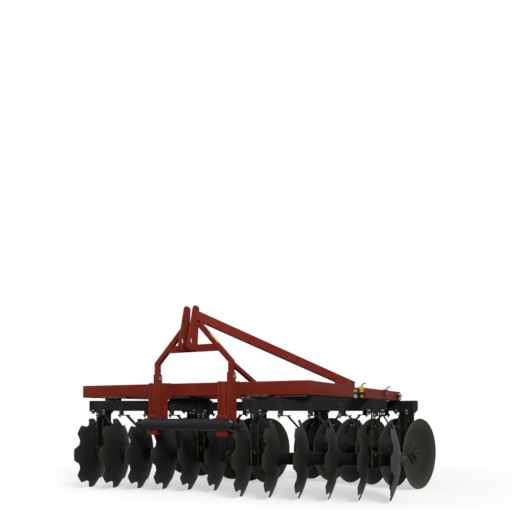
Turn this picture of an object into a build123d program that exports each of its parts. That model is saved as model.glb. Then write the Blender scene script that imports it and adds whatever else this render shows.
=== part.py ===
from build123d import *
import math
import os

# Mounted offset disc harrow, in millimetres.
# +X is the machine's left side, -Y is the direction of travel, +Z is up and the discs stand on Z = 0.
# Until the last step the frame's centre line is X = 0 and the front frame beam's centre line is Y = 0.

# Discs
disc_radius = 305.0
disc_thickness = 6.0
dish_depth = 70.0
disc_flat_radius = 92.0
disc_edge_bevel = 3.0
disc_spacing = 230.0
discs_per_gang = 6
notches = 8
notch_depth = 42.0
notch_overcut = 18.0
notch_reach_half_angle = 16.9
notch_floor_half_angle = 4.5
notch_fillet = 14.0

# Gang axles and spools
axle_square = 38.0
axle_clearance = 0.4
spool_radius = 48.0
spool_flange_radius = 66.0
spool_flange_length = 12.0
spool_cone_length = 22.0
journal_radius = 40.0
journal_clearance = 0.05
end_washer_side = 128.0
end_washer_thickness = 12.0
axle_nut_flats = 56.0
axle_nut_height = 30.0
axle_tail = 14.0

# Gang beams and where the axles hang under them
gang_angle = 15.0
gang_beam_side = 90.0
gang_beam_wall = 8.0
gang_beam_length = 1100.0
gang_beam_lead = 40.0
gang_beam_shift = -75.0
gang_beam_bottom = 676.0
beam_corner = 8.0

# Hangers: two side plates with a bearing housing between them
hanger_plate = 10.0
hanger_width = 68.0
hanger_offset = 50.0
hanger_bottom_drop = 56.0
hanger_depth = 205.0
hanger_top_depth = 150.0
hanger_setback = 2.0
hanger_seat_thickness = 12.0
hanger_neck_height = 130.0
ear_spread = 49.0
ear_width = 34.0
ear_reach = 46.0
housing_radius = 72.0
plate_hole_clearance = 7.0
shoulder_clearance = 3.0

# Scrapers
scraper_width = 40.0
scraper_thickness = 8.0
scraper_offset = 27.0
scraper_offset_past_hanger = 106.0
scraper_rise = 55.0
scraper_drop = 40.0
scraper_elbow = 58.0
scraper_elbow_past_hanger = 22.0
scraper_bend_radius = 250.0
arm_width = 34.0
arm_forward = 14.0
blade_width = 74.0
blade_high_radius = 236.0
blade_low_radius = 150.0
blade_gap = 8.0

# Main frame
frame_tube = 110.0
frame_wall = 8.0
frame_width = 2231.0
frame_bottom = 798.0
rear_beam_y = 1030.0
mount_plate = 12.0
pad_length = 120.0
pad_reach = 60.0

# Hitch and mast
hitch_x = 155.0
hitch_tube_y = -245.0
hitch_height = 569.0
hitch_tube_radius = 46.0
hitch_shoulder_span = 825.0
hitch_pin_radius = 18.3
hitch_pin_length = 89.0
bracket_half_span = 329.0
bracket_gap = 88.0
bracket_plate = 12.0
bracket_front_y = -200.0
bracket_back_y = -110.0
bracket_back_low = 592.0
jaw_thickness = 14.0
jaw_clearance = 0.3
mast_half_span = 353.0
mast_y = -150.0
mast_bar = 38.0
socket_wall = 6.0
socket_height = 72.0
knee_rise = 158.0
head_rise = 611.0
head_gap = 72.0
head_plate = 12.0
head_top_front = -66.0
head_top_back = 16.0
head_low_front = -156.0
head_low_back = -12.0
head_corner = 18.0
leg_head_drop = 132.0
slot_length = 44.0
slot_width = 26.0
slot_inset = 43.0
slot_rise = 52.0
cross_share = 0.36
cross_section = 57.0
cross_depth = 30.0
cross_plate_lap = 24.0

# Braces and the outer link between the two left gangs
brace_height = 70.0
brace_width = 45.0
brace_head_drop = 82.0
stay_height = 32.0
stay_width = 34.0
stay_foot_y = 255.0
stay_knee_drop = 20.0
lug_height = 30.0
lug_length = 245.0
link_x = 1490.0
link_side = 80.0
link_front_y = 8.0
link_rear_y = 1088.0
link_wall = 6.0

gang_beam_top = gang_beam_bottom + gang_beam_side
frame_top = frame_bottom + frame_tube
axle_height = disc_radius
frame_half = frame_width / 2
plate_bottom = frame_bottom - mount_plate
gang_span = disc_spacing * (discs_per_gang - 1)
knee_height = frame_top + knee_rise
head_height = frame_top + head_rise
cross_height = knee_height + cross_share * (head_height - leg_head_drop - knee_height)
head_plate_bottom = cross_height - cross_plate_lap
slot_height = cross_height + slot_rise
clear_block = frame_width

# Gang sections: name, hub centre x and y, hand (+1 convex side to the left, -1 to the right),
# notched discs, x of the two mounting pads on the gang beam
gangs = [
    ("front_right", -306.5, 27.0, 1, True, (-700.0, -40.0)),
    ("front_left", 1169.5, 116.0, 1, True, (700.0, 1010.0)),
    ("rear_right", -263.0, 998.0, -1, False, (-560.0, 160.0)),
    ("rear_left", 1090.5, 1200.0, -1, False, (760.0, 1030.0)),
]

parts = {}


def tube(length, width, height, wall, corner=beam_corner):
    """Square tube along X with rounded corners and closed ends, centred on the origin."""
    skin = extrude(Plane.YZ * RectangleRounded(width, height, corner), length / 2, both=True)
    bore_face = RectangleRounded(width - 2 * wall, height - 2 * wall, corner / 4)
    bore = extrude(Plane.YZ * bore_face, length / 2 - wall, both=True)
    return skin - bore


def bar_between(start, end, width, height):
    """Bar from start to end whose height lies in the vertical plane through both ends."""
    along = (end - start).normalized()
    side = Vector(0, 0, 1).cross(along).normalized()
    plane = Plane(origin=(start + end) * 0.5, x_dir=along, z_dir=along.cross(side))
    return plane * Box((end - start).length, width, height)


def prism_x(points, x_low, x_high):
    """Solid between two X planes whose outline is given in Y and Z."""
    face = Plane.YZ * make_face(Polyline(*points, close=True))
    return Pos(x_low, 0, 0) * extrude(face, x_high - x_low)


def on_gang(gang, shape):
    """Puts a shape from a gang's own axes (X along the axle, towards the convex sides) into the harrow."""
    name, x, y, hand = gang[:4]
    if hand < 0:
        shape = mirror(shape, about=Plane.YZ)
    return Location((x, y, 0), (0, 0, hand * gang_angle)) * shape


def hub_positions():
    return [disc_spacing * i - gang_span / 2 for i in range(discs_per_gang)]


def dish_at(radius):
    """How far the convex face has fallen back at a radius: a shallow ball shape outside the flat centre."""
    share = (radius ** 2 - disc_flat_radius ** 2) / (disc_radius ** 2 - disc_flat_radius ** 2)
    return dish_depth * max(share, 0.0)


def make_disc(notched):
    """Dished disc on the X axis, its flat centre's convex face at X = 0 and its rim towards -X."""
    mid_radius = (disc_radius + disc_flat_radius) / 2
    rim_x = -dish_depth
    hub_face = Line((0, 0), (0, disc_flat_radius))
    convex = ThreePointArc((0, disc_flat_radius), (-dish_at(mid_radius), mid_radius), (rim_x, disc_radius))
    bevel = Line((rim_x, disc_radius), (rim_x - disc_thickness, disc_radius - disc_edge_bevel))
    concave = ThreePointArc(
        (rim_x - disc_thickness, disc_radius - disc_edge_bevel),
        (-dish_at(mid_radius) - disc_thickness, mid_radius),
        (-disc_thickness, disc_flat_radius),
    )
    inner = Polyline((-disc_thickness, disc_flat_radius), (-disc_thickness, 0), (0, 0))
    disc = revolve(make_face([hub_face, convex, bevel, concave, inner]), Axis.X)
    disc = disc - Box(dish_depth, axle_square + axle_clearance, axle_square + axle_clearance)
    if notched:
        disc = disc - notch_cutters()
    return disc


def notch_cutters():
    """Wedges that leave flat-topped lobes, with one lobe straight down."""
    floor_radius = disc_radius - notch_depth
    rim_reach = disc_radius + notch_overcut
    corners = []
    for radius, angle in (
        (rim_reach, notch_reach_half_angle),
        (floor_radius, notch_floor_half_angle),
        (floor_radius, -notch_floor_half_angle),
        (rim_reach, -notch_reach_half_angle),
    ):
        corners.append((radius * math.cos(math.radians(angle)), radius * math.sin(math.radians(angle))))
    wedge = extrude(Plane.YZ * make_face(Polyline(*corners, close=True)), dish_depth * 2, both=True)
    wedge = fillet(wedge.edges().filter_by(Axis.X).sort_by(Axis.Y)[:2], notch_fillet)
    pitch = 360 / notches
    cutters = []
    for i in range(notches):
        cutters.append(Rot(pitch / 2 + pitch * i, 0, 0) * wedge)
    return cutters


def make_spool(length, journal=None):
    """Spool from X = 0, with a flange against each disc; journal is (low, high) where a bearing runs."""
    flange = spool_flange_radius
    cone = spool_flange_length + spool_cone_length
    outline = [(0, 0), (0, flange), (spool_flange_length - 2, flange)]
    if journal:
        low, high = journal
        outline += [(low, spool_radius), (low, journal_radius), (high, journal_radius), (high, spool_radius)]
    else:
        outline += [(cone, spool_radius)]
    outline += [(length - cone, spool_radius), (length - spool_flange_length, flange)]
    outline += [(length, flange), (length, 0)]
    solid = revolve(make_face(Polyline(*outline, close=True)), Axis.X)
    bore = axle_square + axle_clearance
    return solid - Pos(length / 2, 0, 0) * Box(2 * length, bore, bore)


def hanger_hubs():
    hubs = hub_positions()
    return [hubs[0], hubs[-2]]


def gang_discs(gang):
    disc = make_disc(gang[4])
    return [on_gang(gang, Pos(u, 0, axle_height) * disc) for u in hub_positions()]


def gang_spools(gang):
    length = disc_spacing - disc_thickness
    half = hanger_width / 2 + shoulder_clearance
    bearing_spool = make_spool(length, (hanger_offset - half, hanger_offset + half))
    plain_spool = make_spool(length)
    solids = []
    for u in hub_positions()[:-1]:
        spool = bearing_spool if u in hanger_hubs() else plain_spool
        solids.append(on_gang(gang, Pos(u, 0, axle_height) * spool))
    return solids


def gang_axle(gang):
    """Square axle with a diamond-set washer and nut at the concave end and a cap and nut at the other."""
    low = -gang_span / 2 - disc_thickness
    high = gang_span / 2
    reach = end_washer_thickness + axle_nut_height + axle_tail
    shaft = Pos((low + high) / 2, 0, 0) * Box(high - low + 2 * reach, axle_square, axle_square)
    washer = Rot(45, 0, 0) * Box(end_washer_thickness, end_washer_side, end_washer_side)
    nut = extrude(Plane.YZ * RegularPolygon(axle_nut_flats / 2, 6, major_radius=False), axle_nut_height)
    shaft = shaft + Pos(low - end_washer_thickness / 2, 0, 0) * washer
    shaft = shaft + Pos(low - end_washer_thickness - axle_nut_height, 0, 0) * nut
    cap = Rot(0, 90, 0) * Cylinder(spool_flange_radius, end_washer_thickness)
    shaft = shaft + Pos(high + end_washer_thickness / 2, 0, 0) * cap
    shaft = shaft + Pos(high + end_washer_thickness, 0, 0) * nut
    return [on_gang(gang, Pos(0, 0, axle_height) * shaft)]


def gang_beam(gang):
    beam = tube(gang_beam_length, gang_beam_side, gang_beam_side, gang_beam_wall)
    place = Pos(gang_beam_shift, -gang_beam_lead, gang_beam_bottom + gang_beam_side / 2)
    return [on_gang(gang, place * beam)]


def hanger_outline():
    """Side plate outline in Y and Z: from under the beam down and back round the axle."""
    front = -gang_beam_lead - gang_beam_side / 2 + hanger_setback
    back = front + hanger_depth
    top_back = front + hanger_top_depth
    bottom = axle_height - hanger_bottom_drop
    top = gang_beam_bottom - hanger_seat_thickness
    foot_chamfer = hanger_bottom_drop / 2
    return [
        (front, top),
        (front, bottom + foot_chamfer),
        (front + foot_chamfer, bottom),
        (housing_radius, bottom),
        (back, axle_height - spool_radius / 2),
        (back, axle_height + housing_radius),
        (top_back, axle_height + 3 * housing_radius),
        (top_back, top),
    ]


def hanger_seat(scraped_in_front):
    """Seat plate under the beam with ears for the clamp bolts, but none where a scraper passes behind."""
    seat = Box(hanger_width + ear_width, gang_beam_side, hanger_seat_thickness)
    for side in (-1, 1):
        back_reach = ear_reach if scraped_in_front or side < 0 else 0
        ear = Box(ear_width, gang_beam_side + ear_reach + back_reach, hanger_seat_thickness)
        ear = fillet(ear.edges().filter_by(Axis.Z), ear_width / 4)
        seat = seat + Pos(side * ear_spread, (back_reach - ear_reach) / 2, 0) * ear
    return Pos(0, -gang_beam_lead, gang_beam_bottom - hanger_seat_thickness / 2) * seat


def gang_hangers(gang):
    """Bearing hangers: two side plates, a seat plate under the beam and a ring-shaped bearing housing."""
    inner = hanger_width / 2 - hanger_plate
    outline = hanger_outline()
    hole = Rot(0, 90, 0) * Cylinder(spool_radius + plate_hole_clearance, 2 * hanger_width)
    plates = prism_x(outline, -hanger_width / 2, -inner) + prism_x(outline, inner, hanger_width / 2)
    plates = plates - Pos(0, 0, axle_height) * hole + hanger_seat(gang[4])
    ring = Rot(0, 90, 0) * Cylinder(housing_radius, 2 * inner)
    neck_length = gang_beam_lead + gang_beam_side / 2 - hanger_setback - hanger_plate
    neck = Pos(0, -neck_length / 2, 0) * Box(2 * inner, neck_length, hanger_neck_height)
    bore = Rot(0, 90, 0) * Cylinder(journal_radius + journal_clearance, hanger_width)
    hanger = plates + Pos(0, 0, axle_height) * (ring + neck - bore)
    return [on_gang(gang, Pos(u + hanger_offset, 0, 0) * hanger) for u in hanger_hubs()]


def concave_x(radius):
    """The next disc's concave face at a radius, measured along the axle from this disc's hub."""
    return disc_spacing - disc_thickness - dish_at(radius)


def radial_strip(stations, width, thickness):
    """Flat strip through (X, radius) stations above the axle, its width across the radial plane."""
    left = [(x - thickness / 2, radius) for x, radius in stations]
    right = [(x + thickness / 2, radius) for x, radius in reversed(stations)]
    return extrude(Plane.XZ * make_face(Polyline(*left, *right, close=True)), width / 2, both=True)


def scraper(hand_y, offset, elbow):
    """Bent flat arm from the beam's face down to a blade just off the next disc's concave face."""
    y_shank = -gang_beam_lead + hand_y * (gang_beam_side / 2 + scraper_thickness / 2)
    y_arm = y_shank + hand_y * arm_forward
    top = gang_beam_bottom + scraper_rise
    low = gang_beam_bottom - scraper_drop
    shank = Pos(offset, y_shank, (top + low) / 2) * Box(scraper_width, scraper_thickness, top - low)
    foot_low, foot_high = sorted((y_shank - hand_y * scraper_thickness / 2, y_arm + hand_y * arm_width / 2))
    foot = Box(scraper_width + elbow, foot_high - foot_low, scraper_thickness)
    foot = Pos(offset + elbow / 2, (foot_low + foot_high) / 2, low + scraper_thickness / 2) * foot
    off = blade_gap + scraper_thickness / 2
    stations = [(offset + elbow, math.hypot(y_arm, low - axle_height + scraper_thickness / 2))]
    for radius in (scraper_bend_radius, blade_high_radius, blade_low_radius):
        stations.append((concave_x(radius) - off, radius))
    arm = radial_strip(stations[:3], arm_width, scraper_thickness)
    blade = radial_strip(stations[2:], blade_width, scraper_thickness)
    lean = math.degrees(math.atan2(-y_arm, low - axle_height))
    return shank + foot + Pos(0, 0, axle_height) * Rot(lean, 0, 0) * (arm + blade)


def gang_scrapers(gang):
    """One scraper for each disc but the first, set in front of a hanger or past it."""
    hand_y = -1 if gang[4] else 1
    plain = scraper(hand_y, scraper_offset, scraper_elbow)
    if gang[4]:
        at_hanger = scraper(hand_y, hanger_offset, scraper_elbow)
    else:
        at_hanger = scraper(hand_y, scraper_offset_past_hanger, scraper_elbow_past_hanger)
    solids = []
    for u in hub_positions()[:-1]:
        one = at_hanger if u in hanger_hubs() else plain
        solids.append(on_gang(gang, Pos(u, 0, 0) * one))
    return solids


def gang_mounts(gang, frame_y):
    """Plates under the frame beam that reach over the gang beam, each on a pad that seats on that beam."""
    name, x, y, hand, notched, pad_places = gang
    slope = math.tan(math.radians(gang_angle)) * hand
    middle = on_gang(gang, Pos(gang_beam_shift, -gang_beam_lead, 0) * Box(1, 1, 1)).center()
    pad_height = plate_bottom - gang_beam_top
    half = frame_tube / 2
    solids = []
    for pad_x in pad_places:
        pad_y = middle.Y + slope * (pad_x - middle.X)
        turned = Location((pad_x, pad_y, gang_beam_top + pad_height / 2), (0, 0, hand * gang_angle))
        pad = turned * Box(pad_length, gang_beam_side - 16, pad_height)
        low = min(pad_y - pad_reach, frame_y - half + 6)
        high = max(pad_y + pad_reach, frame_y + half - 6)
        plate = Box(pad_length + 50, high - low, mount_plate)
        solids.append(pad + Pos(pad_x, (low + high) / 2, plate_bottom + mount_plate / 2) * plate)
    return solids


def front_beam():
    return [Pos(0, 0, frame_bottom + frame_tube / 2) * tube(frame_width, frame_tube, frame_tube, frame_wall)]


def rear_beam():
    beam = tube(frame_width, frame_tube, frame_tube, frame_wall)
    return [Pos(0, rear_beam_y, frame_bottom + frame_tube / 2) * beam]


def long_beam(x):
    low = frame_tube / 2
    high = rear_beam_y - frame_tube / 2
    place = Location((x, (low + high) / 2, frame_bottom + frame_tube / 2), (0, 0, 90))
    return place * tube(high - low, frame_tube, frame_tube, frame_wall)


def side_beams():
    edge = frame_half - frame_tube / 2
    return [long_beam(-edge), long_beam(edge)]


def inner_beams():
    return [long_beam(hitch_x - mast_half_span), long_beam(hitch_x + mast_half_span)]


def bracket_outline():
    """Hitch bracket side plate in Y and Z: from the beam's front face down behind the cross tube."""
    front = bracket_front_y
    back = bracket_back_y
    face = -frame_tube / 2
    low = hitch_height - hitch_tube_radius - jaw_thickness
    return [
        (face, frame_top),
        (front + 30, frame_top),
        (front, hitch_height + 150),
        (front, low),
        (front + 5, low),
        (back, bracket_back_low),
        (back, frame_bottom - 20),
        (face, frame_bottom - 20),
    ]


def hitch_bracket(side):
    """Two side plates with jaws above and below the cross tube, a web and a cap under the mast's boot."""
    centre = hitch_x + side * bracket_half_span
    outline = bracket_outline()
    width = bracket_gap + bracket_plate
    solid = None
    for edge in (-1, 1):
        middle = centre + edge * bracket_gap / 2
        plate = prism_x(outline, middle - bracket_plate / 2, middle + bracket_plate / 2)
        solid = plate if solid is None else solid + plate
    jaw_low = hitch_tube_y - 12
    jaw_high = bracket_front_y + 4
    reach = hitch_tube_radius + jaw_clearance + jaw_thickness / 2
    for level in (-1, 1):
        jaw = Box(width, jaw_high - jaw_low, jaw_thickness)
        solid = solid + Pos(centre, (jaw_low + jaw_high) / 2, hitch_height + level * reach) * jaw
    cap_low = bracket_front_y + 30
    cap_high = -frame_tube / 2
    cap = Box(width, cap_high - cap_low, bracket_plate)
    solid = solid + Pos(centre, (cap_low + cap_high) / 2, frame_top - bracket_plate / 2) * cap
    web_low = hitch_height + reach
    web = Box(width - bracket_plate, bracket_plate, frame_top - web_low)
    solid = solid + Pos(centre, bracket_back_y - 30, (frame_top + web_low) / 2) * web
    hole = Rot(0, 90, 0) * Cylinder(hitch_tube_radius + jaw_clearance, width + 2)
    return [solid - Pos(centre, hitch_tube_y, hitch_height) * hole]


def hitch_tube():
    """Cross tube through both brackets with a turned pin at each end."""
    place = Pos(hitch_x, hitch_tube_y, hitch_height)
    body = place * Rot(0, 90, 0) * Cylinder(hitch_tube_radius, hitch_shoulder_span)
    pins = Pos(hitch_x, hitch_tube_y, hitch_height) * Rot(0, 90, 0) * Cylinder(
        hitch_pin_radius, hitch_shoulder_span + 2 * hitch_pin_length)
    pins = chamfer(pins.edges(), 4)
    return [body + pins]


def mast_sockets():
    """Open boots on the front beam that hold the mast's uprights."""
    solids = []
    for side in (-1, 1):
        centre = hitch_x + side * mast_half_span
        hollow = mast_bar + 2 * jaw_clearance
        outer = Box(hollow + 2 * socket_wall, hollow + 2 * socket_wall, socket_height)
        inner = Box(hollow, hollow, 2 * socket_height)
        solids.append(Pos(centre, mast_y, frame_top + socket_height / 2) * (outer - inner))
    return solids


def mast_legs():
    """Upright and leaning leg on each side, mitred at the knee, up to the head plates."""
    half = mast_bar / 2
    solids = []
    for side in (-1, 1):
        foot_x = side * mast_half_span
        head_x = side * (head_gap / 2 + head_plate)
        head_z = head_height - leg_head_drop
        lean = math.atan2(abs(foot_x - head_x), head_z - knee_height)
        mitre = half * math.tan(lean / 2)
        stretch = half / math.cos(lean)
        outline = [
            (foot_x + side * half, frame_top),
            (foot_x + side * half, knee_height + mitre),
            (head_x + side * stretch, head_z),
            (head_x - side * stretch, head_z),
            (foot_x - side * half, knee_height - mitre),
            (foot_x - side * half, frame_top),
        ]
        leg = extrude(Plane.XZ * make_face(Polyline(*outline, close=True)), mast_bar)
        inside = Pos(head_x - side * clear_block / 2, 0, 0) * Box(clear_block, clear_block, 2 * clear_block)
        solids.append(Pos(hitch_x, mast_y + half, 0) * (leg - inside))
    return solids


def mast_cross(legs):
    """Cross member between the leaning legs, let into the back of the head plates."""
    bar = Box(2 * mast_half_span, cross_depth, cross_section)
    bar = Pos(hitch_x, mast_y, cross_height) * bar
    return [(bar - legs).solids().sort_by_distance((hitch_x, mast_y, cross_height))[0]]


def head_front(height):
    """The head plates' leaning front edge, measured from the mast's own plane."""
    share = (head_height - height) / (head_height - head_plate_bottom)
    return head_top_front + share * (head_low_front - head_top_front)


def mast_head():
    """Two head plates that lean back, with the top link's slots, notched over the cross member."""
    outline = [
        (head_low_front + head_corner, head_plate_bottom),
        (head_low_back, head_plate_bottom),
        (head_top_back, head_height - head_corner),
        (head_top_back - head_corner, head_height),
        (head_top_front + head_corner, head_height),
        (head_top_front, head_height - head_corner),
        (head_low_front, head_plate_bottom + head_corner),
    ]
    slot = extrude(Plane.YZ * Rot(0, 0, 90) * SlotOverall(slot_length, slot_width), head_gap, both=True)
    slot = Pos(0, head_front(slot_height) + slot_inset, slot_height) * slot
    notch = Box(2 * head_gap, cross_depth + 2 * jaw_clearance, cross_section + 2 * jaw_clearance)
    notch = Pos(0, 0, cross_height) * notch
    solids = []
    for side in (-1, 1):
        low, high = sorted((side * head_gap / 2, side * (head_gap / 2 + head_plate)))
        plate = prism_x(outline, low, high) - slot - notch
        solids.append(Pos(hitch_x, mast_y, 0) * plate.solids().sort_by(SortBy.VOLUME)[-1])
    return solids


def main_brace():
    """Long brace from the mast head to the rear left corner, cut flush at both ends."""
    seat_x = hitch_x + head_gap / 2 + head_plate
    start = Vector(seat_x, mast_y, head_height - brace_head_drop)
    end = Vector(frame_half - frame_tube / 2, rear_beam_y - frame_tube / 2, frame_top + lug_height)
    along = (end - start).normalized()
    brace = bar_between(start - along * frame_tube, end + along * frame_tube, brace_width, brace_height)
    block = Box(clear_block, clear_block, clear_block)
    inside = Pos(seat_x - clear_block / 2, mast_y, head_height) * block
    below = Pos(end.X, end.Y, frame_top + lug_height - clear_block / 2) * block
    return [brace - inside - below]


def knee_stay():
    """Short stay from the left knee back to the inner beam, cut flush at both ends."""
    x = hitch_x + mast_half_span
    face_y = mast_y + mast_bar / 2
    start = Vector(x, face_y, knee_height - stay_knee_drop)
    end = Vector(x, stay_foot_y, frame_top)
    along = (end - start).normalized()
    stay = bar_between(start - along * frame_tube, end + along * frame_tube, stay_width, stay_height)
    stay = stay - Pos(x, face_y - clear_block / 2, knee_height) * Box(clear_block, clear_block, clear_block)
    return [stay - Pos(x, end.Y, frame_top - clear_block / 2) * Box(clear_block, clear_block, clear_block)]


def corner_bracket():
    """Raised seat on the rear left corner that takes the brace's foot."""
    centre_x = frame_half - frame_tube / 2
    centre_y = rear_beam_y + frame_tube / 2 - lug_length / 2
    return [Pos(centre_x, centre_y, frame_top + lug_height / 2) * Box(frame_tube, lug_length, lug_height)]


def outer_link():
    """Square link that lies on the outer ends of the two left gang beams."""
    height = gang_beam_top + link_side / 2
    length = link_rear_y - link_front_y
    place = Location((link_x, (link_front_y + link_rear_y) / 2, height), (0, 0, 90))
    return [place * tube(length, link_side, link_side, link_wall)]


parts["front_beam"] = front_beam()
parts["rear_beam"] = rear_beam()
parts["side_beams"] = side_beams()
parts["inner_beams"] = inner_beams()
parts["hitch_bracket_right"] = hitch_bracket(-1)
parts["hitch_bracket_left"] = hitch_bracket(1)
parts["hitch_tube"] = hitch_tube()
parts["mast_sockets"] = mast_sockets()
parts["mast_legs"] = mast_legs()
parts["mast_head"] = mast_head()
parts["mast_cross"] = mast_cross(parts["mast_legs"])
parts["main_brace"] = main_brace()
parts["knee_stay"] = knee_stay()
parts["corner_bracket"] = corner_bracket()
parts["outer_link"] = outer_link()
for gang in gangs:
    name = gang[0]
    frame_y = 0.0 if gang[4] else rear_beam_y
    parts["discs_" + name] = gang_discs(gang)
    parts["spools_" + name] = gang_spools(gang)
    parts["axle_" + name] = gang_axle(gang)
    parts["gang_beam_" + name] = gang_beam(gang)
    parts["gang_mounts_" + name] = gang_mounts(gang, frame_y)
    parts["hangers_" + name] = gang_hangers(gang)
    parts["scrapers_" + name] = gang_scrapers(gang)

# The origin is put under the middle of the whole harrow.
boxes = [solid.bounding_box() for solids in parts.values() for solid in solids]
low_x = min(box.min.X for box in boxes)
high_x = max(box.max.X for box in boxes)
low_y = min(box.min.Y for box in boxes)
high_y = max(box.max.Y for box in boxes)
centring = Pos(-(low_x + high_x) / 2, -(low_y + high_y) / 2, -min(box.min.Z for box in boxes))

os.makedirs("parts", exist_ok=True)
for node, solids in parts.items():
    placed = []
    for solid in solids:
        placed += (centring * solid).solids()
    export_step(Compound(children=placed), "parts/" + node + ".step")
print("width", round(high_x - low_x, 1), "length", round(high_y - low_y, 1))
print("origin moved by", centring.position)
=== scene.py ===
"""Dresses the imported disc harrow: paint, discs, fasteners, welds, stage, lamps and camera."""

import logging
import math
import random
from collections.abc import Callable, Sequence
from dataclasses import dataclass, field
from enum import Enum

import bmesh
import bpy
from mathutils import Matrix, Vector


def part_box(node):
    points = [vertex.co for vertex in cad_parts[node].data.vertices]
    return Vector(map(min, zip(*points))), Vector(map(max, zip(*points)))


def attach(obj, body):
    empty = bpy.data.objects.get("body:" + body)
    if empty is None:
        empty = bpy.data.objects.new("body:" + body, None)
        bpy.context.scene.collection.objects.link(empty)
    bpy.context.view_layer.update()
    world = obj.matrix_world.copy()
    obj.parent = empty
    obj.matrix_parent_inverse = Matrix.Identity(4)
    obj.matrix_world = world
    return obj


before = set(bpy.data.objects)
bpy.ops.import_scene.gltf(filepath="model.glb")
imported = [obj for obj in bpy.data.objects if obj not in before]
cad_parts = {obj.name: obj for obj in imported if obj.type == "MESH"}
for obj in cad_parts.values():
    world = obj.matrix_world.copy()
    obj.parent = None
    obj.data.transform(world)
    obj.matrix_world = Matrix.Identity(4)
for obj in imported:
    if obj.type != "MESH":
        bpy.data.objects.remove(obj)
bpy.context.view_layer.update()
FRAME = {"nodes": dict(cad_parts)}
LOG = logging.getLogger("harrow")
Triple = tuple[float, float, float]
Colour = Triple
Pair = tuple[float, float]
Points = Sequence[Vector]
UP = Vector((0, 0, 1))
SQUARE = ((-1, -1), (1, -1), (1, 1), (-1, 1))
SIDES = (-1, 1)
SLOTS = {"red": "frame_red", "hitch_red": "frame_red", "black": "gang_black", "mount": "mount_plate",
         "hitch": "hitch_steel"}


def paint_chip(red: int, green: int, blue: int) -> Colour:
    """Turns a colour read off a swatch into the linear values that shaders take.

    Args:
        red: Red from 0 to 255.
        green: Green from 0 to 255.
        blue: Blue from 0 to 255.

    Returns:
        The colour as three linear numbers.
    """
    shares = [value / 255 for value in (red, green, blue)]
    linear = [s / 12.92 if s <= 0.04045 else ((s + 0.055) / 1.055) ** 2.4 for s in shares]
    return linear[0], linear[1], linear[2]


def shade(colour: Colour, factor: float) -> Colour:
    """Makes a colour lighter or darker by a factor."""
    return colour[0] * factor, colour[1] * factor, colour[2] * factor


def cut_square(share: float) -> list[Pair]:
    """Gives a square of half-width 1 whose corners are cut off beyond a share of it."""
    return [(-1, -share), (-1, share), (-share, 1), (share, 1), (1, share), (1, -share), (share, -1),
            (-share, -1)]


class Layout:
    """The harrow's own measuring lines, in millimetres, carried into the shared frame in metres."""

    def __init__(self) -> None:
        """Finds the shared frame's place from the front beam, whose middle is the lines' zero."""
        low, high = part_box("front_beam")
        self.shift = Vector(((low.x + high.x) / 2, (low.y + high.y) / 2, 0))

    def at(self, x: float, y: float, z: float) -> Vector:
        """Gives a point on the measuring lines as a point of the shared frame."""
        return Vector((x, y, z)) / 1000 + self.shift


@dataclass(frozen=True)
class GangPlace:
    """Where one gang of discs hangs, and which way it is angled."""

    name: str
    x: float
    y: float
    hand: int
    notched: bool
    pads: Pair
    frame_y: float
    packing: Pair | None = None
    angle: float = math.radians(15)
    axle_height: float = 305
    spacing: float = 230
    count: int = 6
    beam_middle: float = -75
    beam_lead: float = 40

    @property
    def turn(self) -> float:
        """Gives the gang's turn about the upright."""
        return self.hand * self.angle

    def point(self, layout: Layout, u: float, v: float, z: float) -> Vector:
        """Gives a point of the shared frame from its place on the gang.

        Args:
            layout: The harrow's measuring lines.
            u: The distance along the axle.
            v: The distance across the axle.
            z: The height above the ground.

        Returns:
            The point, in metres.
        """
        u = u * self.hand
        x = self.x + u * math.cos(self.turn) - v * math.sin(self.turn)
        y = self.y + u * math.sin(self.turn) + v * math.cos(self.turn)
        return layout.at(x, y, z)

    def way(self, u: float, v: float, z: float) -> Vector:
        """Gives a direction of the shared frame from its shares on the gang.

        Args:
            u: The share along the axle.
            v: The share across the axle.
            z: The upward share.

        Returns:
            The direction, of length 1.
        """
        u = u * self.hand
        across = u * math.cos(self.turn) - v * math.sin(self.turn)
        return Vector((across, u * math.sin(self.turn) + v * math.cos(self.turn), z)).normalized()

    def hubs(self) -> list[float]:
        """Lists the discs' places along the axle."""
        return [self.spacing * (i - (self.count - 1) / 2) for i in range(self.count)]

    def hanger_hubs(self) -> list[float]:
        """Lists the hubs that a bearing hanger stands beside."""
        hubs = self.hubs()
        return [hubs[0], hubs[-2]]

    def pad_y(self, pad_x: float) -> float:
        """Finds the Y at which the gang beam's middle line passes under a pad.

        Args:
            pad_x: The pad's X.

        Returns:
            The Y, on the measuring lines.
        """
        along = self.beam_middle * self.hand
        middle_x = self.x + along * math.cos(self.turn) + self.beam_lead * math.sin(self.turn)
        middle_y = self.y + along * math.sin(self.turn) - self.beam_lead * math.cos(self.turn)
        return middle_y + math.tan(self.turn) * (pad_x - middle_x)


GANGS = (
    GangPlace("front_right", x=-306.5, y=27.0, hand=1, notched=True, pads=(-700.0, -40.0), frame_y=0.0,
              packing=(110.0, 460.0)),
    GangPlace("front_left", x=1169.5, y=116.0, hand=1, notched=True, pads=(700.0, 1010.0), frame_y=0.0,
              packing=(-560.0, 300.0)),
    GangPlace("rear_right", x=-263.0, y=998.0, hand=-1, notched=False, pads=(-560.0, 160.0),
              frame_y=1030.0),
    GangPlace("rear_left", x=1090.5, y=1200.0, hand=-1, notched=False, pads=(760.0, 1030.0),
              frame_y=1030.0),
)


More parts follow.
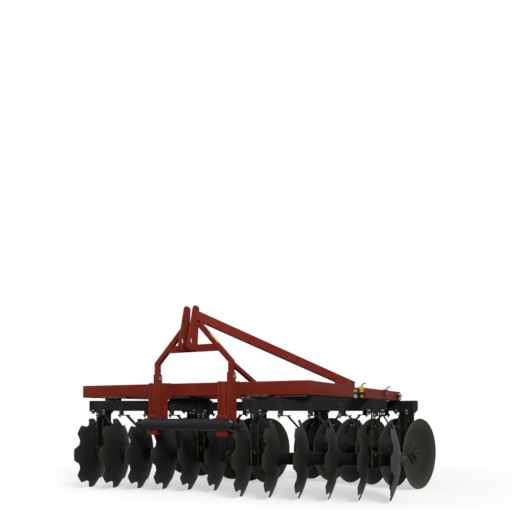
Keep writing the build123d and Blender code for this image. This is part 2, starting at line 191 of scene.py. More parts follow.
class Signal:
    """A shader value that takes part in plain arithmetic."""

    def __init__(self, wiring: "Wiring", socket: bpy.types.NodeSocket) -> None:
        """Keeps the socket and the wiring that its nodes go into."""
        self.wiring = wiring
        self.socket = socket

    def _maths(self, operation: str, *values: "Signal | float", clamp: bool = False) -> "Signal":
        """Adds one Math node on these values."""
        settings = {"operation": operation, "use_clamp": clamp}
        return self.wiring.node("ShaderNodeMath", settings, dict(enumerate(values)))

    def __add__(self, other: "Signal | float") -> "Signal":
        """Adds."""
        return self._maths("ADD", self, other)

    __radd__ = __add__

    def __sub__(self, other: "Signal | float") -> "Signal":
        """Takes the other away."""
        return self._maths("SUBTRACT", self, other)

    def __rsub__(self, other: float) -> "Signal":
        """Is taken away from the other."""
        return self._maths("SUBTRACT", other, self)

    def __mul__(self, other: "Signal | float") -> "Signal":
        """Multiplies."""
        return self._maths("MULTIPLY", self, other)

    __rmul__ = __mul__

    def clipped(self) -> "Signal":
        """Keeps the value between 0 and 1."""
        return self._maths("ADD", self, 0.0, clamp=True)

    def larger(self, other: "Signal | float") -> "Signal":
        """Takes the larger of two values."""
        return self._maths("MAXIMUM", self, other)

    def _ramp(self, low: float, high: float, first: float, last: float) -> "Signal":
        """Goes smoothly from the first value at low to the last at high."""
        settings = {"interpolation_type": "SMOOTHSTEP", "clamp": True}
        return self.wiring.node("ShaderNodeMapRange", settings, {0: self, 1: low, 2: high, 3: first, 4: last})

    def eased(self, low: float, high: float) -> "Signal":
        """Rises smoothly from 0 at low to 1 at high."""
        return self._ramp(low, high, 0.0, 1.0)

    def falling(self, low: float, high: float) -> "Signal":
        """Falls smoothly from 1 at low to 0 at high."""
        return self._ramp(low, high, 1.0, 0.0)


class Wiring:
    """The nodes and links of one material or of the world."""

    def __init__(self, tree: bpy.types.NodeTree) -> None:
        """Starts with an empty tree."""
        self.tree = tree
        self.tree.nodes.clear()

    def add(self, kind: str, settings: dict, sockets: dict) -> bpy.types.Node:
        """Adds a node.

        Args:
            kind: The node's type.
            settings: Its properties, set before its sockets.
            sockets: Values or signals by socket number or name.

        Returns:
            The node.
        """
        made = self.tree.nodes.new(kind)
        for key, value in settings.items():
            setattr(made, key, value)
        for key, value in sockets.items():
            self.feed(made.inputs[key], value)
        return made

    def node(self, kind: str, settings: dict, sockets: dict, output: int = 0) -> Signal:
        """Adds a node and gives the output of this number as a signal."""
        return Signal(self, self.add(kind, settings, sockets).outputs[output])

    def feed(self, socket: bpy.types.NodeSocket, value: "Signal | float | Colour | Vector") -> None:
        """Links a signal to a socket, or sets the socket's own value.

        Args:
            socket: The socket to feed.
            value: A signal, a number, a colour or a vector.
        """
        if isinstance(value, Signal):
            self.tree.links.new(value.socket, socket)
        elif socket.type == "RGBA":
            socket.default_value = (*value, 1)
        else:
            socket.default_value = value

    def seen(self) -> Signal:
        """Gives 1 to the rays that show a surface: straight, mirrored or let through."""
        straight, mirrored, through = [self.node("ShaderNodeLightPath", {}, {}, kind) for kind in (0, 3, 6)]
        return straight.larger(mirrored).larger(through)


class Recipe(Wiring):
    """One material's nodes while they are put together."""

    def __init__(self, name: str) -> None:
        """Starts a material with a Principled shader on its output.

        Args:
            name: The material's name.
        """
        self.material = bpy.data.materials.new(name)
        self.material.use_nodes = True
        super().__init__(self.material.node_tree)
        self.shader = self.add("ShaderNodeBsdfPrincipled", {}, {})
        self.output = self.add("ShaderNodeOutputMaterial", {}, {0: Signal(self, self.shader.outputs[0])})

    def place(self) -> Signal:
        """Gives the place on the piece, in metres."""
        return self.node("ShaderNodeTexCoord", {}, {}, 3)

    def stretched(self, size: Triple) -> Signal:
        """Gives the place scaled by three factors."""
        return self.node("ShaderNodeVectorMath", {"operation": "MULTIPLY"}, {0: self.place(), 1: size})

    def noise(self, scale: float, detail: float = 3, size: Triple = (1, 1, 1)) -> Signal:
        """Gives soft noise from 0 to 1 about a middle of one half."""
        sockets = {"Vector": self.stretched(size), "Scale": scale, "Detail": detail, "Roughness": 0.6}
        return self.node("ShaderNodeTexNoise", {}, sockets)

    def height(self) -> Signal:
        """Gives the height on the piece, in metres."""
        return self.node("ShaderNodeSeparateXYZ", {}, {0: self.place()}, 2)

    def edges(self, reach: float) -> Signal:
        """Finds outer edges and corners.

        Args:
            reach: How far from an edge the rounding is felt, in metres.

        Returns:
            1 along edges and 0 on flat faces.
        """
        soft = self.node("ShaderNodeBevel", {"samples": 4}, {"Radius": reach})
        hard = self.node("ShaderNodeNewGeometry", {}, {}, 1)
        same = self.node("ShaderNodeVectorMath", {"operation": "DOT_PRODUCT"}, {0: soft, 1: hard}, 1)
        return (1 - same).eased(0.01, 0.2)

    def hollows(self, reach: float) -> Signal:
        """Gives 1 deep in corners and gaps, and 0 in the open."""
        settings = {"samples": 5, "only_local": False}
        return 1 - self.node("ShaderNodeAmbientOcclusion", settings, {"Distance": reach}, 1)

    def _uprightness(self) -> Signal:
        """Gives the upward share of the surface's direction, from -1 to 1."""
        normal = self.node("ShaderNodeNewGeometry", {}, {}, 1)
        return self.node("ShaderNodeSeparateXYZ", {}, {0: normal}, 2)

    def facing_up(self) -> Signal:
        """Gives 1 on faces that look upward."""
        return self._uprightness().eased(0.45, 0.95)

    def facing_down(self) -> Signal:
        """Gives 1 on faces that look downward."""
        return self._uprightness().falling(-0.9, -0.4)

    def mix(self, share: "Signal | float", first: "Signal | Colour", second: "Signal | Colour") -> Signal:
        """Goes from the first colour to the second."""
        settings = {"data_type": "RGBA", "clamp_factor": True}
        return self.node("ShaderNodeMix", settings, {0: share, 6: first, 7: second}, 2)

    def relief(self, height: Signal, depth: float) -> None:
        """Gives the surface a bump of this height signal and depth in metres."""
        bump = self.node("ShaderNodeBump", {}, {"Strength": 1.0, "Distance": depth, "Height": height})
        self.feed(self.shader.inputs["Normal"], bump)

    def finish(self, **values: "Signal | float | Colour") -> bpy.types.Material:
        """Feeds the shader's sockets.

        Args:
            **values: What each socket takes, named with underscores for spaces.

        Returns:
            The finished material.
        """
        for key, value in values.items():
            self.feed(self.shader.inputs[key.replace("_", " ")], value)
        return self.material


@dataclass(frozen=True)
class SprayPaint:
    """Enamel sprayed over steel, faded, scuffed at the edges and dusty."""

    name: str
    colour: Colour
    deep: Colour
    bare: Colour = paint_chip(96, 84, 74)
    dust: Colour = paint_chip(118, 104, 88)
    gloss: float = 0.5
    wear: float = 0.55
    dusting: float = 0.16
    sheen: float = 0.04
    corner_shade: float = 0.55
    edge: float = 0.0035
    scuffing: Pair = (0.62, 0.86)
    under: Colour | None = None
    low_shade: Pair | None = None

    def material(self) -> bpy.types.Material:
        """Builds the paint: fading, runs, painted shade in the corners, low down and on downward faces, dust
        on top and chips on the edges.

        Returns:
            The material.
        """
        r = Recipe(self.name)
        broad = r.noise(3.1, 4)
        fine = r.noise(46, 5)
        grit = r.noise(210, 3)
        runs = r.noise(9, 4, (7, 7, 0.8))
        fade = (broad * 0.7 + runs * 0.5 - 0.1).eased(0.25, 0.8)
        colour = r.mix(fade, self.deep, self.colour)
        # Painted shade: the paint grows darker towards the bottom of the beam, standing in for the lower
        # faces getting less light.
        if self.low_shade:
            low = r.height().falling(*self.low_shade) * 0.75
            colour = r.mix(low, colour, self.deep)
        # Painted shade: faces that look downward take the darker under colour.
        if self.under:
            colour = r.mix(r.facing_down(), colour, self.under)
        # Painted shade: ambient occlusion darkens corners and gaps towards a dark dust colour.
        corners = (r.hollows(0.05) * 1.3 + fine * 0.5 - 0.62).eased(0.0, 0.7) * self.corner_shade
        colour = r.mix(corners, colour, shade(self.dust, 0.35))
        top = r.facing_up() * (broad + fine - 0.62).eased(0.0, 0.6) * self.dusting
        film = (r.noise(17, 5) - 0.5).eased(0.0, 0.3) * self.dusting * 0.35
        colour = r.mix(top.larger(film), colour, self.dust)
        rubbed = r.edges(self.edge) * (fine * 0.9 + grit * 0.5).eased(*self.scuffing) * self.wear
        nicks = (r.noise(75, 2) + r.noise(8, 2) * 0.35).eased(0.93, 0.96) * self.wear
        chips = rubbed.larger(nicks)
        colour = r.mix(chips, colour, self.bare)
        rough = (self.gloss + fine * 0.16 + top * 0.5 + corners * 0.35 + chips * 0.2).clipped()
        r.relief(r.noise(420, 2) * 0.25 + fine * 0.3 - chips * 0.6, 0.0004)
        return r.finish(Base_Color=colour, Roughness=rough, Specular_IOR_Level=self.sheen)


@dataclass(frozen=True)
class DiscSteel:
    """A dished disc: ring marks, scratches and soil that follow its turning, and a rubbed rim."""

    name: str
    gang: GangPlace
    face: Colour
    rim: Colour
    soil: Colour
    polish: float
    soiling: float
    gloss: float

    def material(self, layout: Layout) -> bpy.types.Material:
        """Builds the finish from the distance to the gang's own axle.

        Args:
            layout: The harrow's measuring lines.

        Returns:
            The material.
        """
        r = Recipe(self.name)
        centre = self.gang.point(layout, 0, 0, self.gang.axle_height)
        axis = self.gang.way(1, 0, 0)
        arm = r.node("ShaderNodeVectorMath", {"operation": "SUBTRACT"}, {0: r.place(), 1: tuple(centre)})
        across = r.node("ShaderNodeVectorMath", {"operation": "CROSS_PRODUCT"}, {0: arm, 1: tuple(axis)})
        radius = r.node("ShaderNodeVectorMath", {"operation": "LENGTH"}, {0: across}, 1)
        line = {"noise_dimensions": "1D"}
        rings = r.node("ShaderNodeTexNoise", line, {"W": radius * 150, "Scale": 1.0, "Detail": 3.0})
        wide_rings = r.node("ShaderNodeTexNoise", line, {"W": radius * 22 + 7, "Scale": 1.0, "Detail": 2.0})
        broad = r.noise(6, 5)
        fine = r.noise(58, 6)
        grit = r.noise(260, 3)
        turned = (rings * 0.5 + wide_rings * 0.6 + fine * 0.3 - 0.3).eased(0.15, 0.75)
        colour = r.mix(turned, self.face, shade(self.face, 1.5))
        outward = (radius + (broad - 0.5) * 0.05 + (fine - 0.5) * 0.02).eased(0.215, 0.298)
        colour = r.mix(outward * self.polish, colour, self.rim)
        mud = ((broad * 1.1 + fine * 0.6 - 0.75).eased(0.02, 0.4) * self.soiling).clipped()
        spatter = (grit + r.noise(24, 3) * 0.5).eased(0.88, 0.97) * self.soiling
        dirt = mud.larger(spatter)
        colour = r.mix(dirt, colour, self.soil)
        lip = r.edges(0.003) * (fine + 0.15).eased(0.4, 0.7) * self.polish
        colour = r.mix(lip, colour, self.rim)
        rough = (self.gloss + rings * 0.15 + dirt * 0.4 - outward * 0.08).clipped()
        r.relief(rings * 0.25 + fine * 0.35 + dirt * 0.8 + grit * 0.1, 0.0007)
        return r.finish(Base_Color=colour, Roughness=rough, Specular_IOR_Level=0.09)


@dataclass(frozen=True)
class Plating:
    """Plated or bare metal of small parts, clouded, with dirt and rust in the corners."""

    name: str
    bright: Colour
    dull: Colour
    rust: Colour
    rusting: float
    gloss: float = 0.36
    metal: float = 0.75

    def material(self) -> bpy.types.Material:
        """Builds the clouded plating.

        Returns:
            The material.
        """
        r = Recipe(self.name)
        cloud = r.noise(34, 5)
        grit = r.noise(240, 3)
        colour = r.mix(cloud.eased(0.3, 0.7), self.dull, self.bright)
        corners = r.hollows(0.012)
        spots = (corners * 0.9 + r.noise(90, 4) - 0.62 + self.rusting * 0.4).eased(0.05, 0.5) * self.rusting
        colour = r.mix(spots, colour, self.rust)
        r.relief(grit * 0.4 + spots * 0.7, 0.0003)
        rough = (self.gloss + cloud * 0.2 + spots * 0.4).clipped()
        return r.finish(Base_Color=colour, Roughness=rough, Metallic=(self.metal - spots).clipped())


@dataclass(frozen=True)
class DrawnSteel:
    """The hitch tube: oiled black steel, rubbed bare and brownish along the underside and the pins."""

    name: str
    colour: Colour
    rubbed: Colour
    level: float
    radius: float

    def material(self) -> bpy.types.Material:
        """Builds the oiled steel with its rubbed underside.

        Returns:
            The material.
        """
        r = Recipe(self.name)
        broad = r.noise(5, 4, (0.6, 1, 1))
        fine = r.noise(70, 5, (0.3, 1, 1))
        colour = r.mix(broad.eased(0.3, 0.7), self.colour, shade(self.colour, 1.45))
        under = r.height().falling(self.level - self.radius * 0.98, self.level - self.radius * 0.72)
        rubbed = (under * (fine + 0.25).eased(0.35, 0.7)).larger(r.edges(0.003) * 0.8)
        colour = r.mix(rubbed, colour, self.rubbed)
        # Painted shade: ambient occlusion darkens the hollows towards a dark brown tinted like soil.
        soil = (r.hollows(0.04) + fine * 0.4 - 0.55).eased(0.0, 0.5) * 0.6
        colour = r.mix(soil, colour, shade(self.rubbed, 0.3))
        r.relief(fine * 0.5 + r.noise(300, 2) * 0.2, 0.0004)
        rough = (0.4 + fine * 0.2 + soil * 0.3).clipped()
        return r.finish(Base_Color=colour, Roughness=rough, Specular_IOR_Level=0.12)


@dataclass(frozen=True)
class Sticker:
    """A blank warning-yellow sticker, sun-faded, with dirty, lifting edges."""

    name: str = "sticker_yellow"

    def material(self) -> bpy.types.Material:
        """Builds the faded film.

        Returns:
            The material.
        """
        r = Recipe(self.name)
        cloud = r.noise(40, 4)
        colour = r.mix(cloud.eased(0.3, 0.7), paint_chip(222, 160, 22), paint_chip(244, 196, 44))
        dirt = (r.noise(150, 4) + r.edges(0.004) * 0.3).eased(0.6, 0.85) * 0.6
        colour = r.mix(dirt, colour, paint_chip(70, 52, 30))
        r.relief(cloud, 0.0002)
        return r.finish(Base_Color=colour, Roughness=(0.45 + dirt * 0.3).clipped())


class Body(Enum):
    """The bodies that pieces ride on."""

    FRAME = "frame"
    GANG = "gang_"

    def of(self, gang: GangPlace) -> str:
        """Names the turning body of one gang."""
        return self.value + gang.name


class Grain(Enum):
    """The most that a fastener is turned at random about its own axis, in degrees."""

    FREE = 60.0
    SET = 0.0


class Weld(Enum):
    """The kinds of weld bead, each with half its width."""

    CAP = 0.0022
    THIN = 0.0026
    PLATE = 0.003
    SEAT = 0.0034
    FULL = 0.0036
    BROAD = 0.004
    BEAM = 0.0042


class Forge:
    """Gathers the meshes of one piece, in metres.

    The shares of a washer's thickness and a nut's flats are of the thread's diameter.
    """

    washer_share: float = 0.16
    flats_share: float = 1.55
    pitch: float = 0.0024
    ripple_step: float = 0.0021
    wander: float = 0.0004
    sharp: float = math.radians(34)

    def __init__(self, seed: int) -> None:
        """Starts an empty mesh with its own seeded chance."""
        self.mesh = bmesh.new()
        self.chance = random.Random(seed)

    def _rings(self, rings: list[list[Vector]], closed: bool) -> None:
        """Joins rings of points into a skin.

        Args:
            rings: Loops of points, all of the same length.
            closed: Whether the last ring joins the first; otherwise both ends are capped.
        """
        made = [[self.mesh.verts.new(point) for point in ring] for ring in rings]
        count = len(rings[0])
        pairs = list(zip(made, made[1:]))
        if closed:
            pairs.append((made[-1], made[0]))
        for low, high in pairs:
            for i in range(count):
                j = (i + 1) % count
                self.mesh.faces.new((low[i], low[j], high[j], high[i]))
        if not closed:
            self.mesh.faces.new(list(reversed(made[0])))
            self.mesh.faces.new(made[-1])

    @staticmethod
    def _axes(way: Vector) -> tuple[Vector, Vector]:
        """Finds two directions square to a way.

        Args:
            way: A direction of length 1.

        Returns:
            The two directions.
        """
        helper = UP if abs(way.z) < 0.9 else Vector((1, 0, 0))
        first = way.cross(helper).normalized()
        return first, way.cross(first).normalized()

    def turned(self, centre: Vector, way: Vector, profile: Sequence[Pair], sides: int,
               shape: Callable[[float, float], float] | None = None, start: float = 0.0) -> None:
        """Turns a profile about an axis.

        Args:
            centre: The axis's start.
            way: The axis's direction.
            profile: Distances along the axis and radii, in metres.
            sides: How many sides the round has.
            shape: Changes a radius by its angle, as for a hexagon.
            start: The angle of the first side.
        """
        way = way.normalized()
        first, second = self._axes(way)
        rings = []
        for along, radius in profile:
            ring = []
            for i in range(sides):
                angle = start + 2 * math.pi * i / sides
                reach = shape(radius, angle - start) if shape else radius
                side = first * math.cos(angle) + second * math.sin(angle)
                ring.append(centre + way * along + side * reach)
            rings.append(ring)
        self._rings(rings, False)

    def hexagon(self, centre: Vector, way: Vector, flats: float, height: float,
                grain: Grain = Grain.FREE) -> None:
        """Makes a hexagon nut or head with its corners turned off at the top.

        Args:
            centre: The middle of its seat.
            way: Its axis.
            flats: Its width across the flats.
            height: Its height.
            grain: How far it may be turned at random.
        """
        half = flats / 2

        def six(radius: float, angle: float) -> float:
            """Limits a radius to the hexagon's flats at this angle."""
            return min(radius, half / math.cos((angle + math.pi / 6) % (math.pi / 3) - math.pi / 6))

        corner = half * 1.16
        profile = [(0, half * 1.06), (height * 0.08, corner), (height * 0.8, corner),
                   (height * 0.93, half * 1.07), (height, half * 0.93)]
        start = math.radians(self.chance.uniform(0, grain.value))
        self.turned(centre, way, profile, 24, six, start)

    def washer(self, centre: Vector, way: Vector, radius: float, thickness: float) -> None:
        """Makes a flat washer with softened rims.

        Args:
            centre: The middle of its seat.
            way: Its axis.
            radius: Its radius.
            thickness: Its thickness.
        """
        soft = thickness * 0.25
        profile = [(0, radius - soft), (soft, radius), (thickness - soft, radius), (thickness, radius - soft)]
        self.turned(centre, way, profile, 24)

    def thread(self, centre: Vector, way: Vector, radius: float, length: float) -> None:
        """Makes a threaded end with a turned-down tip.

        Args:
            centre: Where it starts.
            way: Its axis.
            radius: Its radius over the crests.
            length: Its length.
        """
        profile = []
        for i in range(max(int(length / self.pitch), 1)):
            profile += [(i * self.pitch, radius * 0.9), ((i + 0.5) * self.pitch, radius)]
        profile.append((length, radius * 0.78))
        self.turned(centre, way, profile, 14)

    def bolt(self, centre: Vector, way: Vector, size: float, head: float = 0.65) -> None:
        """Makes a washer and a hexagon head that stand on a face."""
        self.washer(centre, way, size * 1.05, size * self.washer_share)
        self.hexagon(centre + way * size * self.washer_share, way, size * self.flats_share, size * head)

    def nut(self, centre: Vector, way: Vector, size: float, stub: float = 0.6) -> None:
        """Makes a washer, a nut and the thread's end that stand on a face.

        Args:
            centre: The bolt's place on the face.
            way: Away from the face.
            size: The thread's diameter.
            stub: The thread's length past the nut, as a share of its diameter.
        """
        self.washer(centre, way, size * 1.08, size * self.washer_share)
        self.hexagon(centre + way * size * self.washer_share, way, size * self.flats_share, size * 0.8)
        self.thread(centre + way * size * 0.9, way, size * 0.48, size * stub)

    def dome(self, centre: Vector, way: Vector, radius: float, height: float) -> None:
        """Makes a round coach-bolt head.

        Args:
            centre: The bolt's place on the face.
            way: Away from the face.
            radius: The head's radius.
            height: The head's height.
        """
        steps = 6
        profile = [(0, radius)]
        for i in range(1, steps):
            angle = math.pi / 2 * i / steps
            profile.append((height * math.sin(angle), radius * math.cos(angle) ** 0.8))
        self.turned(centre, way, profile, 18)

    def swept(self, path: Points, radius: float, sides: int = 10,
              swell: Callable[[int], float] | None = None) -> None:
        """Sweeps a round bar along a path.

        Args:
            path: The points that it follows.
            radius: The bar's radius.
            sides: How many sides the round has.
            swell: Gives a factor on the radius for each point.
        """
        first, _ = self._axes((path[1] - path[0]).normalized())
        rings = []
        for i, point in enumerate(path):
            way = (path[min(i + 1, len(path) - 1)] - path[max(i - 1, 0)]).normalized()
            first = (first - way * first.dot(way)).normalized()
            second = way.cross(first)
            reach = radius * (swell(i) if swell else 1)
            ring = []
            for j in range(sides):
                angle = 2 * math.pi * j / sides
                ring.append(point + (first * math.cos(angle) + second * math.sin(angle)) * reach)
            rings.append(ring)
        self._rings(rings, False)

    def bead(self, start: Vector, end: Vector, kind: Weld) -> None:
        """Lays a weld bead with its ripples.

        Args:
            start: Where it starts.
            end: Where it ends.
            kind: The kind of weld.
        """
        length = (end - start).length
        count = max(int(length / self.ripple_step), 4)
        path = []
        for i in range(count + 1):
            aside = Vector([self.chance.uniform(-self.wander, self.wander) for _ in range(3)])
            path.append(start.lerp(end, i / count) + aside)

        def ripple(i: int) -> float:
            """Swells the bead in ripples and thins it at its ends."""
            taper = min(1.0, 0.55 + 0.25 * min(i, count - i))
            return taper * (0.86 + 0.2 * abs(math.sin(i * math.pi / 3)) + self.chance.uniform(-0.05, 0.05))

        self.swept(path, kind.value, 8, ripple)

    def bead_round(self, corners: Points, kind: Weld) -> None:
        """Lays weld beads round a loop of corners."""
        for start, end in zip(corners, [*corners[1:], corners[0]]):
            self.bead(start, end, kind)

    def slab(self, corners: Points, way: Vector, thickness: float, soft: float) -> None:
        """Makes a plate from its outline with softened edges.

        Args:
            corners: The outline's points on one face.
            way: The direction of its thickness.
            thickness: How thick it is.
            soft: How far its edges are softened.
        """
        lift = way.normalized() * thickness
        low = [self.mesh.verts.new(point) for point in corners]
        high = [self.mesh.verts.new(point + lift) for point in corners]
        count = len(corners)
        faces = [self.mesh.faces.new(list(reversed(low))), self.mesh.faces.new(high)]
        for i in range(count):
            j = (i + 1) % count
            faces.append(self.mesh.faces.new((low[i], low[j], high[j], high[i])))
        edges = {edge for face in faces for edge in face.edges}
        bmesh.ops.bevel(self.mesh, geom=list(edges), offset=soft, segments=2, profile=0.6, affect="EDGES")

    def block(self, centre: Vector, size: Triple, soft: float) -> None:
        """Makes a rectangular plate or block with softened edges.

        Args:
            centre: Its middle.
            size: Its lengths along X, Y and Z.
            soft: How far its edges are softened.
        """
        half_x, half_y, height = size[0] / 2, size[1] / 2, size[2]
        low = centre - Vector((0, 0, height / 2))
        corners = [low + Vector((a * half_x, b * half_y, 0)) for a, b in SQUARE]
        self.slab(corners, UP, height, soft)

    def deliver(self, name: str, material: bpy.types.Material, body: str, slot: str = "") -> None:
        """Turns the gathered mesh into one piece that rides on a body.

        Args:
            name: The piece's name.
            material: Its finish.
            body: The body it rides on.
            slot: The record's material slot, if it has one; not used.
        """
        bmesh.ops.recalc_face_normals(self.mesh, faces=self.mesh.faces)
        data = bpy.data.meshes.new(name)
        self.mesh.to_mesh(data)
        self.mesh.free()
        data.materials.append(material)
        data.shade_smooth()
        data.set_sharp_from_angle(angle=self.sharp)
        piece = bpy.data.objects.new(name, data)
        bpy.context.scene.collection.objects.link(piece)
        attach(piece, body)
        LOG.info("%s: %d faces", name, len(data.polygons))


@dataclass
class Finishes:
    """Every finish of the harrow, built once."""

    layout: Layout
    # The red's low shade darkens the beams towards their bottom: painted shade.
    red: SprayPaint = SprayPaint("frame_red_enamel", paint_chip(128, 45, 34), paint_chip(107, 33, 24),
                                 wear=0.3, low_shade=(0.800, 0.905))
    hitch_red: SprayPaint = SprayPaint("hitch_red_enamel", paint_chip(127, 41, 28), paint_chip(106, 33, 22),
                                       wear=0.25)
    black: SprayPaint = SprayPaint("gang_black_enamel", paint_chip(36, 37, 36), paint_chip(24, 25, 24),
                                   bare=paint_chip(92, 86, 74), dust=paint_chip(66, 62, 54), sheen=0.04)
    hanger: SprayPaint = SprayPaint("hanger_black_enamel", paint_chip(12, 12, 11), paint_chip(5, 5, 5),
                                    bare=paint_chip(104, 98, 78), dust=paint_chip(56, 48, 38), wear=0.95,
                                    sheen=0.03, edge=0.0065, scuffing=(0.4, 0.75))
    scraper: SprayPaint = SprayPaint("scraper_black_enamel", paint_chip(41, 42, 50), paint_chip(27, 28, 34),
                                     bare=paint_chip(112, 94, 72), dust=paint_chip(66, 58, 48), wear=0.8,
                                     sheen=0.05)
    spool: SprayPaint = SprayPaint("spool_black_casting", paint_chip(23, 25, 30), paint_chip(13, 14, 17),
                                   bare=paint_chip(80, 72, 62), dust=paint_chip(56, 50, 42), sheen=0.05)
    axle: SprayPaint = SprayPaint("axle_dark_steel", paint_chip(34, 35, 33), paint_chip(21, 21, 20),
                                  bare=paint_chip(122, 118, 92), dust=paint_chip(60, 54, 42), wear=1.0,
                                  sheen=0.05, edge=0.006, scuffing=(0.4, 0.7))
    # The mount plate's under colour is painted shade on its downward faces.
    mount: SprayPaint = SprayPaint("mount_plate_steel", paint_chip(66, 62, 52), paint_chip(44, 40, 34),
                                   bare=paint_chip(134, 132, 112), dust=paint_chip(88, 78, 62), gloss=0.55,
                                   wear=0.9, dusting=0.3, edge=0.003, scuffing=(0.4, 0.7),
                                   under=paint_chip(28, 28, 26))
    zinc: Plating = Plating("zinc_plate", paint_chip(168, 168, 154), paint_chip(118, 118, 106),
                            paint_chip(92, 70, 48), rusting=0.4)
    yellow_zinc: Plating = Plating("yellow_zinc_plate", paint_chip(196, 176, 66), paint_chip(150, 124, 40),
                                   paint_chip(88, 62, 34), rusting=0.3)
    rusty: Plating = Plating("rusted_steel", paint_chip(50, 42, 34), paint_chip(30, 26, 22),
                             paint_chip(48, 33, 23), rusting=0.5, gloss=0.65, metal=0.1)
    wire: Plating = Plating("dark_spring_steel", paint_chip(74, 78, 78), paint_chip(48, 52, 52),
                            paint_chip(70, 50, 36), rusting=0.3)
    brass: Plating = Plating("nipple_brass", paint_chip(170, 140, 76), paint_chip(120, 98, 56),
                             paint_chip(60, 48, 34), rusting=0.4)
    sticker: Sticker = Sticker()
    hitch: DrawnSteel = DrawnSteel("hitch_oiled_steel", paint_chip(20, 21, 25), paint_chip(108, 90, 66),
                                   level=0.569, radius=0.046)
    made: dict[str, bpy.types.Material] = field(default_factory=dict)

    def get(self, name: str) -> bpy.types.Material:
        """Finds a finish, and builds it at its first use.

        Args:
            name: The finish's field.

        Returns:
            The material.
        """
        if name not in self.made:
            self.made[name] = getattr(self, name).material()
        return self.made[name]

    def discs(self, gang: GangPlace) -> bpy.types.Material:
        """Builds the disc finish of one gang.

        Args:
            gang: The gang, whose axle the rings go round.

        Returns:
            The material.
        """
        name = "disc_steel_" + gang.name
        if gang.notched:
            steel = DiscSteel(name, gang, paint_chip(27, 28, 27), paint_chip(70, 62, 50),
                              paint_chip(44, 39, 32), polish=0.34, soiling=0.22, gloss=0.48)
        else:
            steel = DiscSteel(name, gang, paint_chip(29, 30, 27), paint_chip(84, 79, 64),
                              paint_chip(52, 48, 39), polish=0.36, soiling=0.28, gloss=0.48)
        return steel.material(self.layout)

    def dress_nodes(self) -> None:
        """Gives every CAD node its finish."""
        red = ("front_beam", "rear_beam", "side_beams", "inner_beams", "mast_sockets", "mast_legs",
               "mast_head", "mast_cross", "main_brace", "knee_stay", "corner_bracket", "outer_link")
        chosen = {node: self.get("red") for node in red}
        for side in ("right", "left"):
            chosen["hitch_bracket_" + side] = self.get("hitch_red")
        chosen["hitch_tube"] = self.get("hitch")
        kinds = (("gang_beam_", "black"), ("gang_mounts_", "mount"), ("hangers_", "hanger"),
                 ("scrapers_", "scraper"), ("spools_", "spool"), ("axle_", "axle"))
        for gang in GANGS:
            for start, finish in kinds:
                chosen[start + gang.name] = self.get(finish)
            chosen["discs_" + gang.name] = self.discs(gang)
        for node, material in chosen.items():
            for place in FRAME["nodes"][node].material_slots:
                place.material = material
        missing = [name for name in FRAME["nodes"] if name not in chosen]
        LOG.info("nodes dressed: %d, without a finish: %s", len(chosen), missing)


@dataclass
class Trim:
    """Small pieces on one part of the harrow.

    Places and the harrow's own sizes are in millimetres. The sizes that Forge takes are in metres.
    """

    layout: Layout
    finishes: Finishes

    def at(self, x: float, y: float, z: float) -> Vector:
        """Gives a point on the measuring lines as a point of the shared frame."""
        return self.layout.at(x, y, z)

    def weld(self, forge: Forge, kind: Weld, start: Triple, end: Triple) -> None:
        """Lays a bead between two points given in millimetres."""
        forge.bead(self.at(*start), self.at(*end), kind)

    def deliver(self, forge: Forge, name: str, finish: str, body: str = Body.FRAME.value) -> None:
        """Hands over one piece in a finish."""
        forge.deliver(name, self.finishes.get(finish), body, SLOTS.get(finish, ""))


@dataclass
class MainFrame(Trim):
    """The welds of the red frame."""

    half_width: float = 1115.5
    tube: float = 110
    bottom: float = 798
    rear_y: float = 1030
    inner: float = 353
    hitch_x: float = 155
    stop: float = 8
    proud: float = 1
    cap_depth: float = 4
    cap_inset: float = 2
    cap_cut: float = 0.86

    def build(self) -> None:
        """Lays the beads at the beams' joints and round their end caps."""
        forge = Forge(11)
        half = self.tube / 2
        low, high = self.bottom + self.proud, self.bottom + self.tube - self.proud
        foot, head = self.bottom + self.stop, high - self.stop
        outer = self.half_width - half
        for y in (half + self.proud, self.rear_y - half - self.proud):
            for x in (-outer, outer, self.hitch_x - self.inner, self.hitch_x + self.inner):
                left, right = x - half + self.stop, x + half - self.stop
                for z in (high, low):
                    self.weld(forge, Weld.BEAM, (left, y, z), (right, y, z))
                for edge in (x - half, x + half):
                    if abs(edge) < self.half_width - self.proud:
                        self.weld(forge, Weld.BEAM, (edge, y, foot), (edge, y, head))
        inset = half - self.cap_inset
        for y in (0, self.rear_y):
            for side in SIDES:
                x = side * (self.half_width - self.cap_depth)
                z = self.bottom + half
                ring = [self.at(x, y + a * inset, z + b * inset) for a, b in cut_square(self.cap_cut)]
                forge.bead_round(ring, Weld.CAP)
        self.deliver(forge, "frame_welds", "red")


